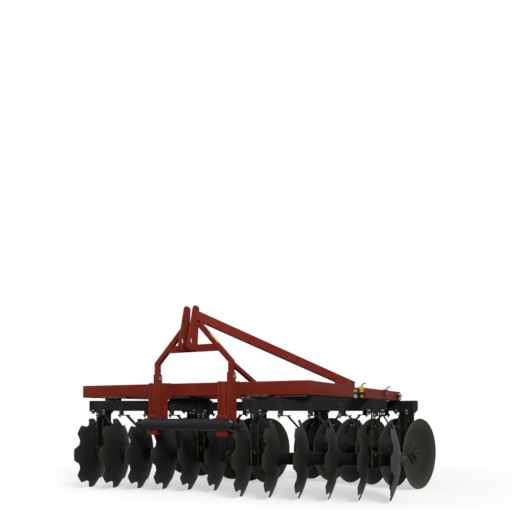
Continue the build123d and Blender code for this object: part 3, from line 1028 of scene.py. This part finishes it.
@dataclass
class Mast(Trim):
    """Boot bolts, welds and the sticker of the three-point mast."""

    hitch_x: float = 155
    half_span: float = 353
    y: float = -150
    bar: float = 38
    boot: float = 50.6
    boot_low: float = 908
    boot_high: float = 980
    bolt_z: float = 941
    boot_bolt: float = 0.019
    knee: float = 1066
    head_x: float = 48
    head_inner: float = 36
    leg_top: float = 1387
    cross_z: float = 1181.6
    cross_half: float = 28.5
    cross_depth: float = 15
    cross_front: float = -182
    brace_low: float = 1400
    brace_high: float = 1476
    brace_front: float = -173
    brace_back: float = -138
    proud: float = 2
    sticker_low: float = 0.42
    sticker_high: float = 0.68
    sticker_front: float = -165
    sticker_back: float = -137

    def build(self) -> None:
        """Builds the mast's small pieces."""
        self._bolts()
        self._welds()
        self._sticker()

    @property
    def lean(self) -> Pair:
        """Gives how far a leg runs inward and how far it rises from its knee to its top."""
        return self.half_span - self.head_x, self.leg_top - self.knee

    def _bolts(self) -> None:
        """Puts a bolt through each boot, with a hexagon on its left and a round head on its right."""
        forge = Forge(21)
        for side in SIDES:
            x, z = self.hitch_x + side * self.half_span, self.bolt_z
            forge.dome(self.at(x - self.boot / 2, self.y, z), Vector((-1, 0, 0)), 0.011, 0.004)
            forge.bolt(self.at(x + self.boot / 2, self.y, z), Vector((1, 0, 0)), self.boot_bolt, 0.6)
        self.deliver(forge, "mast_boot_bolts", "zinc")

    def _leg_point(self, side: int, share: float, out: float, y: float) -> Vector:
        """Gives a point on a leaning leg.

        Args:
            side: Which leg, -1 or 1.
            share: The share of its length from knee to top.
            out: The distance outward from its middle line.
            y: The point's Y.

        Returns:
            The point, in metres.
        """
        run, rise = self.lean
        length = math.hypot(run, rise)
        x = self.half_span - run * share + out * rise / length
        z = self.knee + rise * share + out * run / length
        return self.layout.at(self.hitch_x + side * x, y, z)

    def _welds(self) -> None:
        """Lays the beads at the boots, knees, head plates, cross member and brace."""
        forge = Forge(22)
        half = self.bar / 2
        run, rise = self.lean
        reach = half / math.cos(math.atan2(run, rise))
        cross = (self.cross_z - self.knee) / rise
        boots = ((self.boot_low, self.boot / 2, Weld.FULL), (self.boot_high, half, Weld.CAP))
        low, high = self.leg_top - reach + 6, self.leg_top + reach + 4
        for side in SIDES:
            x = self.hitch_x + side * self.half_span
            for z, wide, kind in boots:
                forge.bead_round([self.at(x + a * wide, self.y + b * wide, z) for a, b in SQUARE], kind)
            for y in (self.y - half, self.y + half):
                knee = self._leg_point(side, -0.02, -half, y)
                forge.bead(knee, self._leg_point(side, 0.035, half, y), Weld.THIN)
            outer = self.hitch_x + side * self.head_x + side * self.proud
            inner = self.hitch_x + side * self.head_inner - side * self.proud
            for y in (self.y - half, self.y + half - 6):
                self.weld(forge, Weld.FULL, (outer, y, low), (outer, y, high))
            for x in (inner, outer):
                for z in (self.cross_z - self.cross_half, self.cross_z + self.cross_half):
                    self.weld(forge, Weld.PLATE, (x, self.y - self.cross_depth, z), (x, self.cross_front, z))
            for y in (self.y - self.cross_depth, self.y + self.cross_depth):
                under = self._leg_point(side, cross - 0.1, -half, y)
                forge.bead(under, self._leg_point(side, cross + 0.07, -half, y), Weld.PLATE)
        x, front = self.hitch_x + self.head_x + self.proud, self.brace_front
        for z in (self.brace_low, self.brace_high):
            self.weld(forge, Weld.SEAT, (x, front + 3, z + 4), (x, self.brace_back, z - 4))
        self.weld(forge, Weld.SEAT, (x, front, self.brace_low + 4), (x, front, self.brace_high + 2))
        self.deliver(forge, "mast_welds", "red")

    def _sticker(self) -> None:
        """Lays the blank sticker on the left leg's upper face."""
        forge = Forge(23)
        out = self.bar / 2 + 0.1
        low, high, front, back = self.sticker_low, self.sticker_high, self.sticker_front, self.sticker_back
        corners = [self._leg_point(1, share, out, y)
                   for share, y in ((low, front), (low, back), (high, back), (high, front))]
        normal = (self._leg_point(1, 0.5, out, self.y) - self._leg_point(1, 0.5, 0, self.y)).normalized()
        forge.slab(corners, normal, 0.0008, 0.0003)
        self.deliver(forge, "leg_sticker", "sticker")


@dataclass
class Hitch(Trim):
    """Cheeks, jaw lips, bolts, welds, stop collars and the stud of the lower hitch."""

    hitch_x: float = 155
    tube_y: float = -245
    height: float = 569
    radius: float = 46
    half_span: float = 329
    gap: float = 88
    shoulder: float = 412.5
    pin_radius: float = 18.3
    front: float = -200
    nose: float = -241
    cheek: float = 12.6
    cheek_top: float = 907
    jaw: float = 12
    lip: float = 0.010
    lip_low: float = 481
    lip_high: float = 650
    jaw_top: float = 509
    clamp_bolt: float = 0.013
    bolt_spread: float = 22
    bolt_reach: float = 14.4
    beam_y: float = -56
    beam_top: float = 908
    weld_low: float = 806
    weld_high: float = 900
    back_y: float = -147
    back_rows: Pair = (895, 640)
    stud_x: float = 575

    def build(self) -> None:
        """Builds the hitch's small pieces."""
        self._cheeks()
        self._clamps()
        self._welds()
        self._collars()

    @property
    def brackets(self) -> list[float]:
        """Lists the X of the middle of each bracket."""
        return [self.hitch_x + side * self.half_span for side in SIDES]

    def _side_plate(self, forge: Forge, x: float, outline: Sequence[Pair], thickness: float,
                    soft: float) -> None:
        """Makes an upright plate that faces sideways, from its right face's X and its corners' Y and Z."""
        forge.slab([self.at(x, y, z) for y, z in outline], Vector((1, 0, 0)), thickness / 1000, soft)

    def _cheeks(self) -> None:
        """Carries each bracket's side plates forward over the tube and closes them with a face plate."""
        forge = Forge(30)
        low, high, nose, back = self.height + self.radius + 1, self.cheek_top, self.nose, self.front + 6
        outline = [(back, high), (nose + 9, high), (nose, high - 9), (nose, low + 30), (nose + 12, low),
                   (back, low)]
        face = (0.063, 0.008, (high - low) / 1000 - 0.04)
        for centre in self.brackets:
            for edge in SIDES:
                x = centre + edge * self.gap / 2 - self.cheek / 2
                self._side_plate(forge, x, outline, self.cheek, 0.0012)
            forge.block(self.at(centre - 6, nose + 15, (low + high) / 2 + 14), face, 0.001)
        self.deliver(forge, "hitch_bracket_cheeks", "hitch_red")

    def _clamps(self) -> None:
        """Puts the notched lips, the side plates and the bolts of the clamp jaws over and under the tube."""
        forge = Forge(31)
        bolts = Forge(32)
        front = self.nose - 9
        jaw_side = [(front, self.jaw_top), (front, 486), (front + 14, self.lip_low + 1), (self.front, 494),
                    (self.front, self.jaw_top)]
        roots = (self.height - self.radius - 0.5, self.height + self.radius + 0.5)
        for centre in self.brackets:
            for root, tip in zip(roots, (self.lip_low, self.lip_high)):
                notch = root + (tip - root) * 0.42
                shoulder = tip * 0.7 + root * 0.3
                half = [(50, root), (13, root), (9, notch)]
                outline = [(-50, root), (-50, shoulder), (-38, tip), (38, tip), (50, shoulder), *half]
                outline += [(-x, z) for x, z in reversed(half[1:])]
                corners = [self.at(centre + x, front, z) for x, z in outline]
                forge.slab(corners, Vector((0, -1, 0)), self.lip, 0.0012)
            for edge in SIDES:
                x = centre + edge * self.gap / 2 - self.jaw / 2
                self._side_plate(forge, x, jaw_side, self.jaw, 0.001)
                for level in SIDES:
                    x, y = centre + edge * self.bolt_spread, self.tube_y + self.bolt_spread
                    z = self.height + level * (self.radius + self.bolt_reach)
                    bolts.bolt(self.at(x, y, z), UP * level, self.clamp_bolt, 0.5)
        self.deliver(forge, "hitch_jaw_lips", "hitch_red")
        self.deliver(bolts, "hitch_clamp_bolts", "zinc")

    def _welds(self) -> None:
        """Lays the beads between the brackets and the front beam."""
        forge = Forge(33)
        y = self.beam_y
        for centre in self.brackets:
            for edge in SIDES:
                for face in SIDES:
                    x = centre + edge * self.gap / 2 + face * self.jaw / 2
                    self.weld(forge, Weld.FULL, (x, y, self.weld_low), (x, y, self.weld_high))
            z = self.beam_top
            self.weld(forge, Weld.BROAD, (centre - 48, y - 1, z), (centre + 48, y - 1, z))
            for z in self.back_rows:
                self.weld(forge, Weld.PLATE, (centre - 38, self.back_y, z), (centre + 38, self.back_y, z))
        self.deliver(forge, "hitch_welds", "hitch_red")

    def _collars(self) -> None:
        """Puts stop collars and ridges on the tube's ends and the small bright stud near its left end."""
        steel = Forge(34)
        bright = Forge(35)
        pin = self.pin_radius / 1000
        collar = [(0, 0.0464), (0.001, 0.0474), (0.009, 0.0474), (0.011, 0.0462)]
        step = [(0, pin + 0.009), (0.003, pin + 0.007), (0.009, pin + 0.0008)]
        ridge = [(0, pin), (0.001, pin + 0.0008), (0.003, pin + 0.0008), (0.004, pin)]
        rounds = ((-14, collar, 48), (0.5, step, 32), (38, ridge, 32), (76, ridge, 32))
        for side in SIDES:
            for along, profile, sides in rounds:
                spot = self.at(self.hitch_x + side * (self.shoulder + along), self.tube_y, self.height)
                steel.turned(spot, Vector((side, 0, 0)), profile, sides)
        out = Vector((0, -0.8, 0.6))
        spot = self.at(self.stud_x, self.tube_y - 36, self.height + 27)
        bright.dome(spot, out, 0.0075, 0.006)
        stem = [(0, 0.004), (0.006, 0.0042), (0.009, 0.0022), (0.012, 0.003)]
        bright.turned(spot + out * 0.004, out, stem, 12)
        bright.dome(self.at(self.stud_x + 15, self.tube_y - 38, self.height + 24), out, 0.0055, 0.006)
        self.deliver(steel, "hitch_collars", "hitch")
        self.deliver(bright, "hitch_stud", "zinc")


@dataclass
class BraceAndLink(Trim):
    """Welds of the long brace and the stay, and the outer link's caps, clamps, pins and handles."""

    link_x: float = 1490
    link_side: float = 80
    link_low: float = 766
    front_y: float = 8
    rear_y: float = 1088
    corner_x: float = 1060.5
    corner_half: float = 55
    corner_front: float = 840
    corner_back: float = 1085
    lug_top: float = 938
    lug_sides: Pair = (1002, 1106)
    lug_front: float = 900
    lug_back: float = 985
    beam_top: float = 908
    stay_x: float = 508
    stay_half: float = 18
    stay_front: float = 210
    stay_back: float = 300
    knee_y: float = -131
    knee_low: float = 1030
    knee_high: float = 1062
    pin_x: float = 1514
    pin_y: float = -20
    pin_z: float = 812
    side_y: float = 560
    side_pin_z: float = 800
    lug_rows: Pair = (812, 838)
    lug_plate: Triple = (0.034, 0.045, 0.009)
    lug_seat: Triple = (0.006, 0.09, 0.056)
    cap: Triple = (0.082, 0.006, 0.082)
    clamp_bolt: float = 0.018
    clamp_flats: float = 0.03

    @property
    def link_face(self) -> float:
        """Gives the X of the link's left side."""
        return self.link_x + self.link_side / 2

    def build(self) -> None:
        """Builds the brace's and the link's small pieces."""
        self._welds()
        self._link_ends()
        self._link_pins()

    def _welds(self) -> None:
        """Lays the beads of the brace's foot, the corner seat and the short stay."""
        forge = Forge(41)
        left, right = self.corner_x - self.corner_half, self.corner_x + self.corner_half
        front, back, seat = self.corner_front, self.corner_back, self.beam_top + 1
        for x in (left + 2, right - 2):
            self.weld(forge, Weld.SEAT, (x, front + 4, seat), (x, back - 4, seat))
        for y in (front, back - 2):
            self.weld(forge, Weld.SEAT, (left + 4, y, seat), (right - 4, y, seat))
        for x in self.lug_sides:
            z = self.lug_top
            self.weld(forge, Weld.PLATE, (x, self.lug_front, z), (x + 12, self.lug_back, z))
        for x in (self.stay_x - self.stay_half, self.stay_x + self.stay_half):
            z = self.beam_top
            self.weld(forge, Weld.PLATE, (x, self.stay_front, z), (x, self.stay_back, z))
            self.weld(forge, Weld.THIN, (x, self.knee_y, self.knee_low), (x, self.knee_y, self.knee_high))
        left, right = self.stay_x - self.stay_half + 1, self.stay_x + self.stay_half - 1
        y, z = self.stay_back + 2, self.beam_top
        self.weld(forge, Weld.PLATE, (left, y, z), (right, y, z))
        self.deliver(forge, "brace_welds", "red")

    def _link_ends(self) -> None:
        """Puts a cap on each end of the link, a clamp on the front one and a side clamp near the rear one."""
        caps = Forge(42)
        tongues = Forge(48)
        zinc = Forge(43)
        middle = self.link_low + self.link_side / 2
        for y in (self.front_y - 3, self.rear_y + 3):
            caps.block(self.at(self.link_x, y, middle), self.cap, 0.001)
        for x, y, z, size, soft in (
            (self.link_x + 6, self.front_y - 29, middle, (0.086, 0.047, 0.010), 0.002),
            (self.link_face + 14, self.rear_y - 90, middle + 2, (0.030, 0.070, 0.009), 0.002),
            (self.link_face + 12, self.rear_y - 30, middle + 2, (0.022, 0.060, 0.007), 0.0015),
        ):
            tongues.block(self.at(x, y, z), size, soft)
        for centre in (self.at(self.link_x - 20, self.front_y - 28, middle),
                       self.at(self.link_face + 16, self.rear_y - 92, middle + 1)):
            zinc.nut(centre + UP * 0.005, UP, self.clamp_bolt, 0.2)
            for drop, height in ((0.006, 0.013), (0.020, 0.012)):
                zinc.hexagon(centre - UP * drop, -UP, self.clamp_flats, height)
            zinc.thread(centre - UP * 0.038, UP, 0.009, 0.03)
        self.deliver(caps, "link_end_caps", "red")
        self.deliver(tongues, "link_end_tongues", "black")
        self.deliver(zinc, "link_end_nuts", "zinc")

    @staticmethod
    def _pin(forge: Forge, wires: Forge, foot: Vector, tall: float, radius: float) -> None:
        """Makes a headed pin with its short bent handle.

        Args:
            forge: Takes the pin.
            wires: Takes the handle.
            foot: The pin's lower end.
            tall: Its length.
            radius: Its radius.
        """
        forge.turned(foot, UP, [(0, radius), (tall - 0.022, radius), (tall - 0.02, radius * 1.3),
                                (tall - 0.003, radius * 1.3), (tall, radius * 1.1)], 24)
        head = foot + UP * tall
        bend = ((0, 0, -0.006), (0.003, -0.001, 0.006), (0.009, -0.002, 0.013), (0.016, -0.004, 0.019),
                (0.023, -0.006, 0.022), (0.029, -0.007, 0.021), (0.032, -0.008, 0.016))
        wires.swept([head + Vector(step) for step in bend], 0.0044, 10)
        wires.dome(head - UP * 0.002, UP, radius * 0.8, 0.005)

    def _link_pins(self) -> None:
        """Puts the yellow pin in the front tongue and the grey pin in a side lug, each with its handle."""
        yellow = Forge(44)
        grey = Forge(45)
        wires = Forge(46)
        lugs = Forge(47)
        x, y = self.pin_x, self.pin_y
        self._pin(yellow, wires, self.at(x, y, self.pin_z), 0.042, 0.0145)
        wires.turned(self.at(x, y, self.pin_z - 26), UP, [(0, 0.0125), (0.015, 0.0125)], 24)
        tip = [(0, 0.008), (0.003, 0.0115), (0.01, 0.0118)]
        yellow.turned(self.at(x, y, self.pin_z - 36), UP, tip, 24)
        x, y = self.link_face, self.side_y
        self._pin(grey, wires, self.at(x + 14, y, self.side_pin_z), 0.050, 0.0105)
        for z in self.lug_rows:
            lugs.block(self.at(x + 15, y, z), self.lug_plate, 0.0012)
        lugs.block(self.at(x + 3, y, self.lug_rows[0] + 12), self.lug_seat, 0.001)
        self.deliver(lugs, "link_side_lug", "red")
        self.deliver(yellow, "link_yellow_pin", "yellow_zinc")
        self.deliver(grey, "link_grey_pin", "zinc")
        self.deliver(wires, "link_handles", "wire")


@dataclass
class GangTrim(Trim):
    """Small pieces of one gang, measured along its own axle and across it."""

    gang: GangPlace
    seed: int

    def at(self, u: float, v: float, z: float) -> Vector:
        """Gives a point of this gang as a point of the shared frame."""
        return self.gang.point(self.layout, u, v, z)


@dataclass
class GangHardware(GangTrim):
    """Fasteners and welds of one gang's beam, mounts, hangers and scrapers."""

    beam_front: float = -85
    beam_back: float = 5
    beam_low: float = 676
    beam_high: float = 766
    beam_ends: Pair = (-625, 475)
    beam_cut: float = 0.84
    frame_tube: float = 110
    mount_low: float = 798
    mount_reach: float = 49
    pad_reach: float = 60
    pad_half: Pair = (0.06, 0.037)
    bolt_spread: float = 68
    bolt_inset: float = 18
    bolt_clear: float = 16
    packing_sides: Pair = (-74, -8)
    packing_rise: Pair = (0.3, 18.5)
    hanger_offset: float = 50
    hanger_half: float = 34
    ear_spread: float = 49
    ear_reach: float = 46
    seat_low: float = 664
    foot_low: float = 636
    foot_high: float = 644
    shank_half: float = 20
    shank_offset: float = 27
    shank_offset_past_hanger: float = 106
    shank_low: float = 690
    shank_high: float = 728
    seat_bolt: float = 0.0135
    foot_bolt: float = 0.012
    mount_bolt: float = 0.014
    neck_rows: Pair = (470, 590)
    nipple_rise: float = 47
    disc_radius: float = 305
    disc_flat: float = 92
    disc_thickness: float = 6
    dish: float = 70
    blade_radius: float = 236
    blade_gap: float = 8
    blade_thickness: float = 8
    arm_forward: float = 14

    @property
    def hand(self) -> int:
        """Gives the side of the beam that the scrapers hang on: -1 in front, 1 behind."""
        return -1 if self.gang.notched else 1

    @property
    def face(self) -> float:
        """Gives the place across the axle of the beam's face that the scrapers hang on."""
        return self.beam_front if self.gang.notched else self.beam_back

    def build(self) -> None:
        """Builds all the fixed small pieces of the gang."""
        self._mounts()
        self._hangers()
        self._scrapers()
        self._beam_welds()

    def _mounts(self) -> None:
        """Bolts each mount plate down beside the frame beam, and welds it there and on the gang's beam."""
        zinc = Forge(self.seed + 1)
        beads = Forge(self.seed + 2)
        gang = self.gang
        place = self.layout.at
        half = self.frame_tube / 2
        side = Vector((math.cos(gang.turn), math.sin(gang.turn), 0)) * self.pad_half[0]
        across = Vector((-math.sin(gang.turn), math.cos(gang.turn), 0)) * self.pad_half[1]
        for x in gang.pads:
            y = gang.pad_y(x)
            low = min(y - self.pad_reach, gang.frame_y - self.mount_reach)
            high = max(y + self.pad_reach, gang.frame_y + self.mount_reach)
            for bolt_x in (x - self.bolt_spread, x, x + self.bolt_spread):
                for bolt_y in (low + self.bolt_inset, high - self.bolt_inset):
                    spot = place(bolt_x, bolt_y, self.mount_low)
                    if abs(bolt_y - gang.frame_y) < half + self.bolt_clear:
                        continue
                    if bolt_y < gang.frame_y and gang.notched:
                        zinc.dome(spot, UP, 0.009, 0.003)
                    else:
                        zinc.bolt(spot, UP, self.mount_bolt, 0.5)
            for bead_y in (gang.frame_y - half, gang.frame_y + half):
                if low - 4 < bead_y < high + 4:
                    z = self.mount_low + 0.5
                    beads.bead(place(x - 80, bead_y, z), place(x + 80, bead_y, z), Weld.FULL)
            centre = place(x, y, self.beam_high + 1)
            beads.bead_round([centre + side * a + across * b for a, b in SQUARE], Weld.PLATE)
        if gang.packing:
            self._packing(*gang.packing)
        self.deliver(zinc, "mount_bolts_" + gang.name, "zinc")
        self.deliver(beads, "mount_welds_" + gang.name, "mount")

    def _packing(self, start: float, end: float) -> None:
        """Lays a black packing bar on the gang beam, below the mount plates.

        Args:
            start: Where it starts along the axle.
            end: Where it ends along the axle.
        """
        forge = Forge(self.seed + 10)
        low, high = [self.beam_high + rise for rise in self.packing_rise]
        front, back = self.packing_sides
        corners = [self.at(u, v, low) for u, v in ((start, front), (end, front), (end, back), (start, back))]
        forge.slab(corners, UP, (high - low) / 1000, 0.0012)
        self.deliver(forge, "packing_bar_" + self.gang.name, "black")

    def _hangers(self) -> None:
        """Bolts the hanger seats and bearing housings, with a grease nipple in each housing."""
        zinc = Forge(self.seed + 3)
        dark = Forge(self.seed + 4)
        brass = Forge(self.seed + 5)
        gang = self.gang
        along = gang.way(1, 0, 0)
        out = gang.way(0, -1, 0)
        # Each row of the housing: its place across the axle, its reach up and down, its bolts' size and the
        # radius of their round heads.
        housing = ((-64, 47, 0.0115, 0.009), (49, 43, 0.0105, 0.008))
        for hub in gang.hanger_hubs():
            middle = hub + self.hanger_offset
            for side in SIDES:
                rows = [self.beam_front - self.ear_reach / 2]
                if gang.notched or side < 0:
                    rows.append(self.beam_back + self.ear_reach / 2)
                for v in rows:
                    u = middle + side * self.ear_spread
                    zinc.bolt(self.at(u, v, self.beam_low), UP, self.seat_bolt, 0.5)
                    zinc.nut(self.at(u, v, self.seat_low), -UP, self.seat_bolt, 0.35)
                face = middle + side * self.hanger_half
                for v, reach, size, radius in housing:
                    for z in (gang.axle_height - reach, gang.axle_height + reach):
                        if side > 0:
                            dark.bolt(self.at(face, v, z), along, size, 0.5)
                        else:
                            dark.dome(self.at(face, v, z), -along, radius, 0.0028)
                for z in self.neck_rows:
                    dark.dome(self.at(face, -gang.beam_lead, z), along * side, 0.01, 0.004)
            nipple = self.at(middle, -73, gang.axle_height + self.nipple_rise)
            brass.hexagon(nipple, out, 0.010, 0.005)
            stem = [(0, 0.0032), (0.003, 0.0026), (0.006, 0.0036), (0.009, 0.002)]
            brass.turned(nipple + out * 0.005, out, stem, 12)
        self.deliver(zinc, "hanger_seat_bolts_" + gang.name, "zinc")
        self.deliver(dark, "hanger_plate_bolts_" + gang.name, "rusty")
        self.deliver(brass, "hanger_nipples_" + gang.name, "brass")

    def _scrapers(self) -> None:
        """Bolts each scraper's foot and blade."""
        zinc = Forge(self.seed + 6)
        for hub in self.gang.hubs()[:-1]:
            u, v = self._shank(hub) - 9, self.face + self.hand * 20
            zinc.bolt(self.at(u, v, self.foot_high), UP, self.foot_bolt, 0.6)
            zinc.nut(self.at(u, v, self.foot_low), -UP, self.foot_bolt, 0.5)
            self._blade_bolts(zinc, hub)
        self.deliver(zinc, "scraper_bolts_" + self.gang.name, "zinc")

    def _shank(self, hub: float) -> float:
        """Finds a scraper shank's place along the axle.

        Args:
            hub: The place of the hub before it.

        Returns:
            The middle of the shank.
        """
        if hub not in self.gang.hanger_hubs():
            return hub + self.shank_offset
        return hub + (self.hanger_offset if self.gang.notched else self.shank_offset_past_hanger)

    def _blade_bolts(self, forge: Forge, hub: float) -> None:
        """Puts two coach bolts through the arm and its blade.

        Args:
            forge: Takes the bolts.
            hub: The place of the hub before the blade.
        """
        axle = self.gang.axle_height
        arm = self.face + self.hand * (self.blade_thickness / 2 + self.arm_forward)
        lean = math.atan2(arm, self.foot_low - axle)
        radius, flat = self.blade_radius, self.disc_flat
        dish = self.dish * (radius ** 2 - flat ** 2) / (self.disc_radius ** 2 - flat ** 2)
        u = hub + self.gang.spacing - self.disc_thickness - dish - self.blade_gap - self.blade_thickness - 0.5
        for across in (-24, 24):
            v = radius * math.sin(lean) + across * math.cos(lean)
            z = axle + radius * math.cos(lean) - across * math.sin(lean)
            forge.dome(self.at(u, v, z), self.gang.way(-1, 0, -0.25), 0.008, 0.005)

    def _beam_welds(self) -> None:
        """Lays beads round the beam's ends, the hanger seats and the scraper shanks."""
        forge = Forge(self.seed + 7)
        inset = (self.beam_high - self.beam_low) / 2 - 1.5
        across, up = (self.beam_front + self.beam_back) / 2, (self.beam_low + self.beam_high) / 2
        low, high = self.beam_ends
        for u in (low + 3, high - 3):
            ring = [self.at(u, across + a * inset, up + b * inset) for a, b in cut_square(self.beam_cut)]
            forge.bead_round(ring, Weld.CAP)
        for hub in self.gang.hanger_hubs():
            middle = hub + self.hanger_offset
            for side in SIDES:
                u, z = middle + side * (self.hanger_half + 1), self.seat_low - 1
                self.weld(forge, Weld.SEAT, (u, -78, z), (u, 58, z))
            for v in (self.beam_front, self.beam_back):
                self.weld(forge, Weld.PLATE, (middle - 27, v, self.beam_low), (middle + 27, v, self.beam_low))
        for hub in self.gang.hubs()[:-1]:
            shank = self._shank(hub)
            v = self.face + self.hand * 1.5
            for side in SIDES:
                u = shank + side * (self.shank_half + 1)
                self.weld(forge, Weld.THIN, (u, v, self.shank_low), (u, v, self.shank_high))
            v, z = self.face + self.hand * 2, self.shank_high + 4
            self.weld(forge, Weld.PLATE, (shank - 18, v, z), (shank + 18, v, z))
        self.deliver(forge, "gang_welds_" + self.gang.name, "black")


@dataclass
class AxleEnds(GangTrim):
    """What turns with a gang beyond its outer discs: the split pins and the nuts' turned corners."""

    disc: float = 6
    washer: float = 12
    nut: float = 30
    pin_past: float = 6.5
    pin_half: float = 0.03
    nut_flats: float = 0.0596
    nut_height: float = 0.0302

    def build(self) -> None:
        """Puts a hexagon with turned corners over each axle nut and a split pin across its end."""
        pins = Forge(self.seed + 8)
        nuts = Forge(self.seed + 9)
        gang = self.gang
        half = gang.spacing * (gang.count - 1) / 2
        out = gang.way(0, 1, 0)
        head = ((self.pin_half, 0), (0.034, 0.004), (0.03, 0.009), (0.022, 0.011))
        tail = ((self.pin_half, 0), (0.034, 0.004), (0.03, 0.01))
        bends = ((1, head), (-1, tail))
        for side, start in ((-1, -half - self.disc), (1, half)):
            way = gang.way(side, 0, 0)
            seat = start + side * self.washer
            centre = self.at(seat + side * self.nut + side * self.pin_past, 0, gang.axle_height)
            pins.swept([centre - UP * self.pin_half, centre + UP * self.pin_half], 0.0028, 8)
            for level, bend in bends:
                path = [centre + UP * (level * rise) + out * (level * aside) for rise, aside in bend]
                pins.swept(path, 0.0022, 8)
            base = self.at(seat, 0, gang.axle_height) + way * 0.0002
            nuts.hexagon(base, way, self.nut_flats, self.nut_height, Grain.SET)
        self.deliver(pins, "axle_split_pins_" + gang.name, "wire", Body.GANG.of(gang))
        self.deliver(nuts, "axle_nuts_" + gang.name, "rusty", Body.GANG.of(gang))


@dataclass
class Studio:
    """The pale floor, the lamps, the sky and the camera of the photograph."""

    eye: Triple = (2.4145, -4.7154, 0.675)
    aim: Triple = (-0.4555, 0.8902, 0.0)
    lens: float = 41.06
    sensor: float = 36
    shift_up: float = 0.303
    key: float = 1600.0
    key_place: Triple = (7.0, -7.4, 8.6)
    key_size: float = 5.2
    side: float = 90.0
    side_place: Triple = (-4.4, -2.6, 3.4)
    side_size: float = 3.0
    sky: float = 0.36
    floor_reach: float = 60.0
    floor_tone: Colour = (0.16, 0.16, 0.155)
    white: Colour = (0.93, 0.93, 0.93)

    def build(self) -> None:
        """Sets the stage."""
        self._floor()
        self._sky()
        self._lamp("key_lamp", Vector(self.key_place), self.key_size, self.key)
        self._lamp("side_lamp", Vector(self.side_place), self.side_size, self.side)
        self._camera()
        bpy.context.scene.view_settings.view_transform = "Standard"

    def _floor(self) -> None:
        """Lays a floor that is white to the eye, keeps the shadow and fades into the backdrop."""
        data = bpy.data.meshes.new("floor")
        corners = [(a * self.floor_reach, b * self.floor_reach, 0) for a, b in SQUARE]
        data.from_pydata(corners, [], [(0, 1, 2, 3)])
        floor = bpy.data.objects.new("floor", data)
        bpy.context.scene.collection.objects.link(floor)
        r = Recipe("floor_paper")
        seen = r.seen()
        away = r.node("ShaderNodeVectorMath", {"operation": "LENGTH"}, {0: r.place()}, 1).eased(1.5, 3.6)
        r.finish(Base_Color=r.mix(seen, self.floor_tone, self.white), Roughness=0.9, Specular_IOR_Level=0.1)
        glow = r.node("ShaderNodeEmission", {}, {"Strength": 1.0})
        paper = Signal(r, r.shader.outputs[0])
        blend = r.node("ShaderNodeMixShader", {}, {0: (away * 0.45 + 0.55) * seen, 1: paper, 2: glow})
        r.feed(r.output.inputs[0], blend)
        data.materials.append(r.material)

    def _sky(self) -> None:
        """Lights the scene softly from all round, with a white backdrop to the eye."""
        world = bpy.data.worlds.new("studio")
        world.use_nodes = True
        wiring = Wiring(world.node_tree)
        light = wiring.node("ShaderNodeBackground", {}, {"Color": (0.98, 0.99, 1), "Strength": self.sky})
        white = wiring.node("ShaderNodeBackground", {}, {"Color": (1, 1, 1), "Strength": 1.0})
        blend = wiring.node("ShaderNodeMixShader", {}, {0: wiring.seen(), 1: light, 2: white})
        wiring.add("ShaderNodeOutputWorld", {}, {0: blend})
        bpy.context.scene.world = world

    @staticmethod
    def _lamp(name: str, place: Vector, size: float, power: float) -> None:
        """Hangs one soft square lamp aimed at the harrow.

        Args:
            name: The lamp's name.
            place: Where it hangs.
            size: The length of its side.
            power: Its power in watts.
        """
        data = bpy.data.lights.new(name, "AREA")
        data.shape = "SQUARE"
        data.size = size
        data.energy = power
        lamp = bpy.data.objects.new(name, data)
        lamp.location = place
        lamp.rotation_euler = (Vector((0, 0, 0.6)) - place).to_track_quat("-Z", "Y").to_euler()
        bpy.context.scene.collection.objects.link(lamp)

    def _camera(self) -> None:
        """Stands the camera where the photographer stood, level, with the photograph's framing."""
        data = bpy.data.cameras.new("photo_camera")
        data.lens = self.lens
        data.sensor_width = self.sensor
        data.shift_y = self.shift_up
        camera = bpy.data.objects.new("photo_camera", data)
        camera.location = self.eye
        camera.rotation_euler = Vector(self.aim).to_track_quat("-Z", "Y").to_euler()
        bpy.context.scene.collection.objects.link(camera)
        bpy.context.scene.camera = camera


def main() -> None:
    """Dresses the harrow and sets the stage."""
    logging.basicConfig(level=logging.INFO, format="%(name)s: %(message)s")
    layout = Layout()
    finishes = Finishes(layout)
    finishes.dress_nodes()
    for part in (MainFrame, Mast, Hitch, BraceAndLink):
        part(layout, finishes).build()
    for number, gang in enumerate(GANGS):
        for part in (GangHardware, AxleEnds):
            part(layout, finishes, gang, 100 * (number + 1)).build()
    Studio().build()


if __name__ == "__main__":
    main()
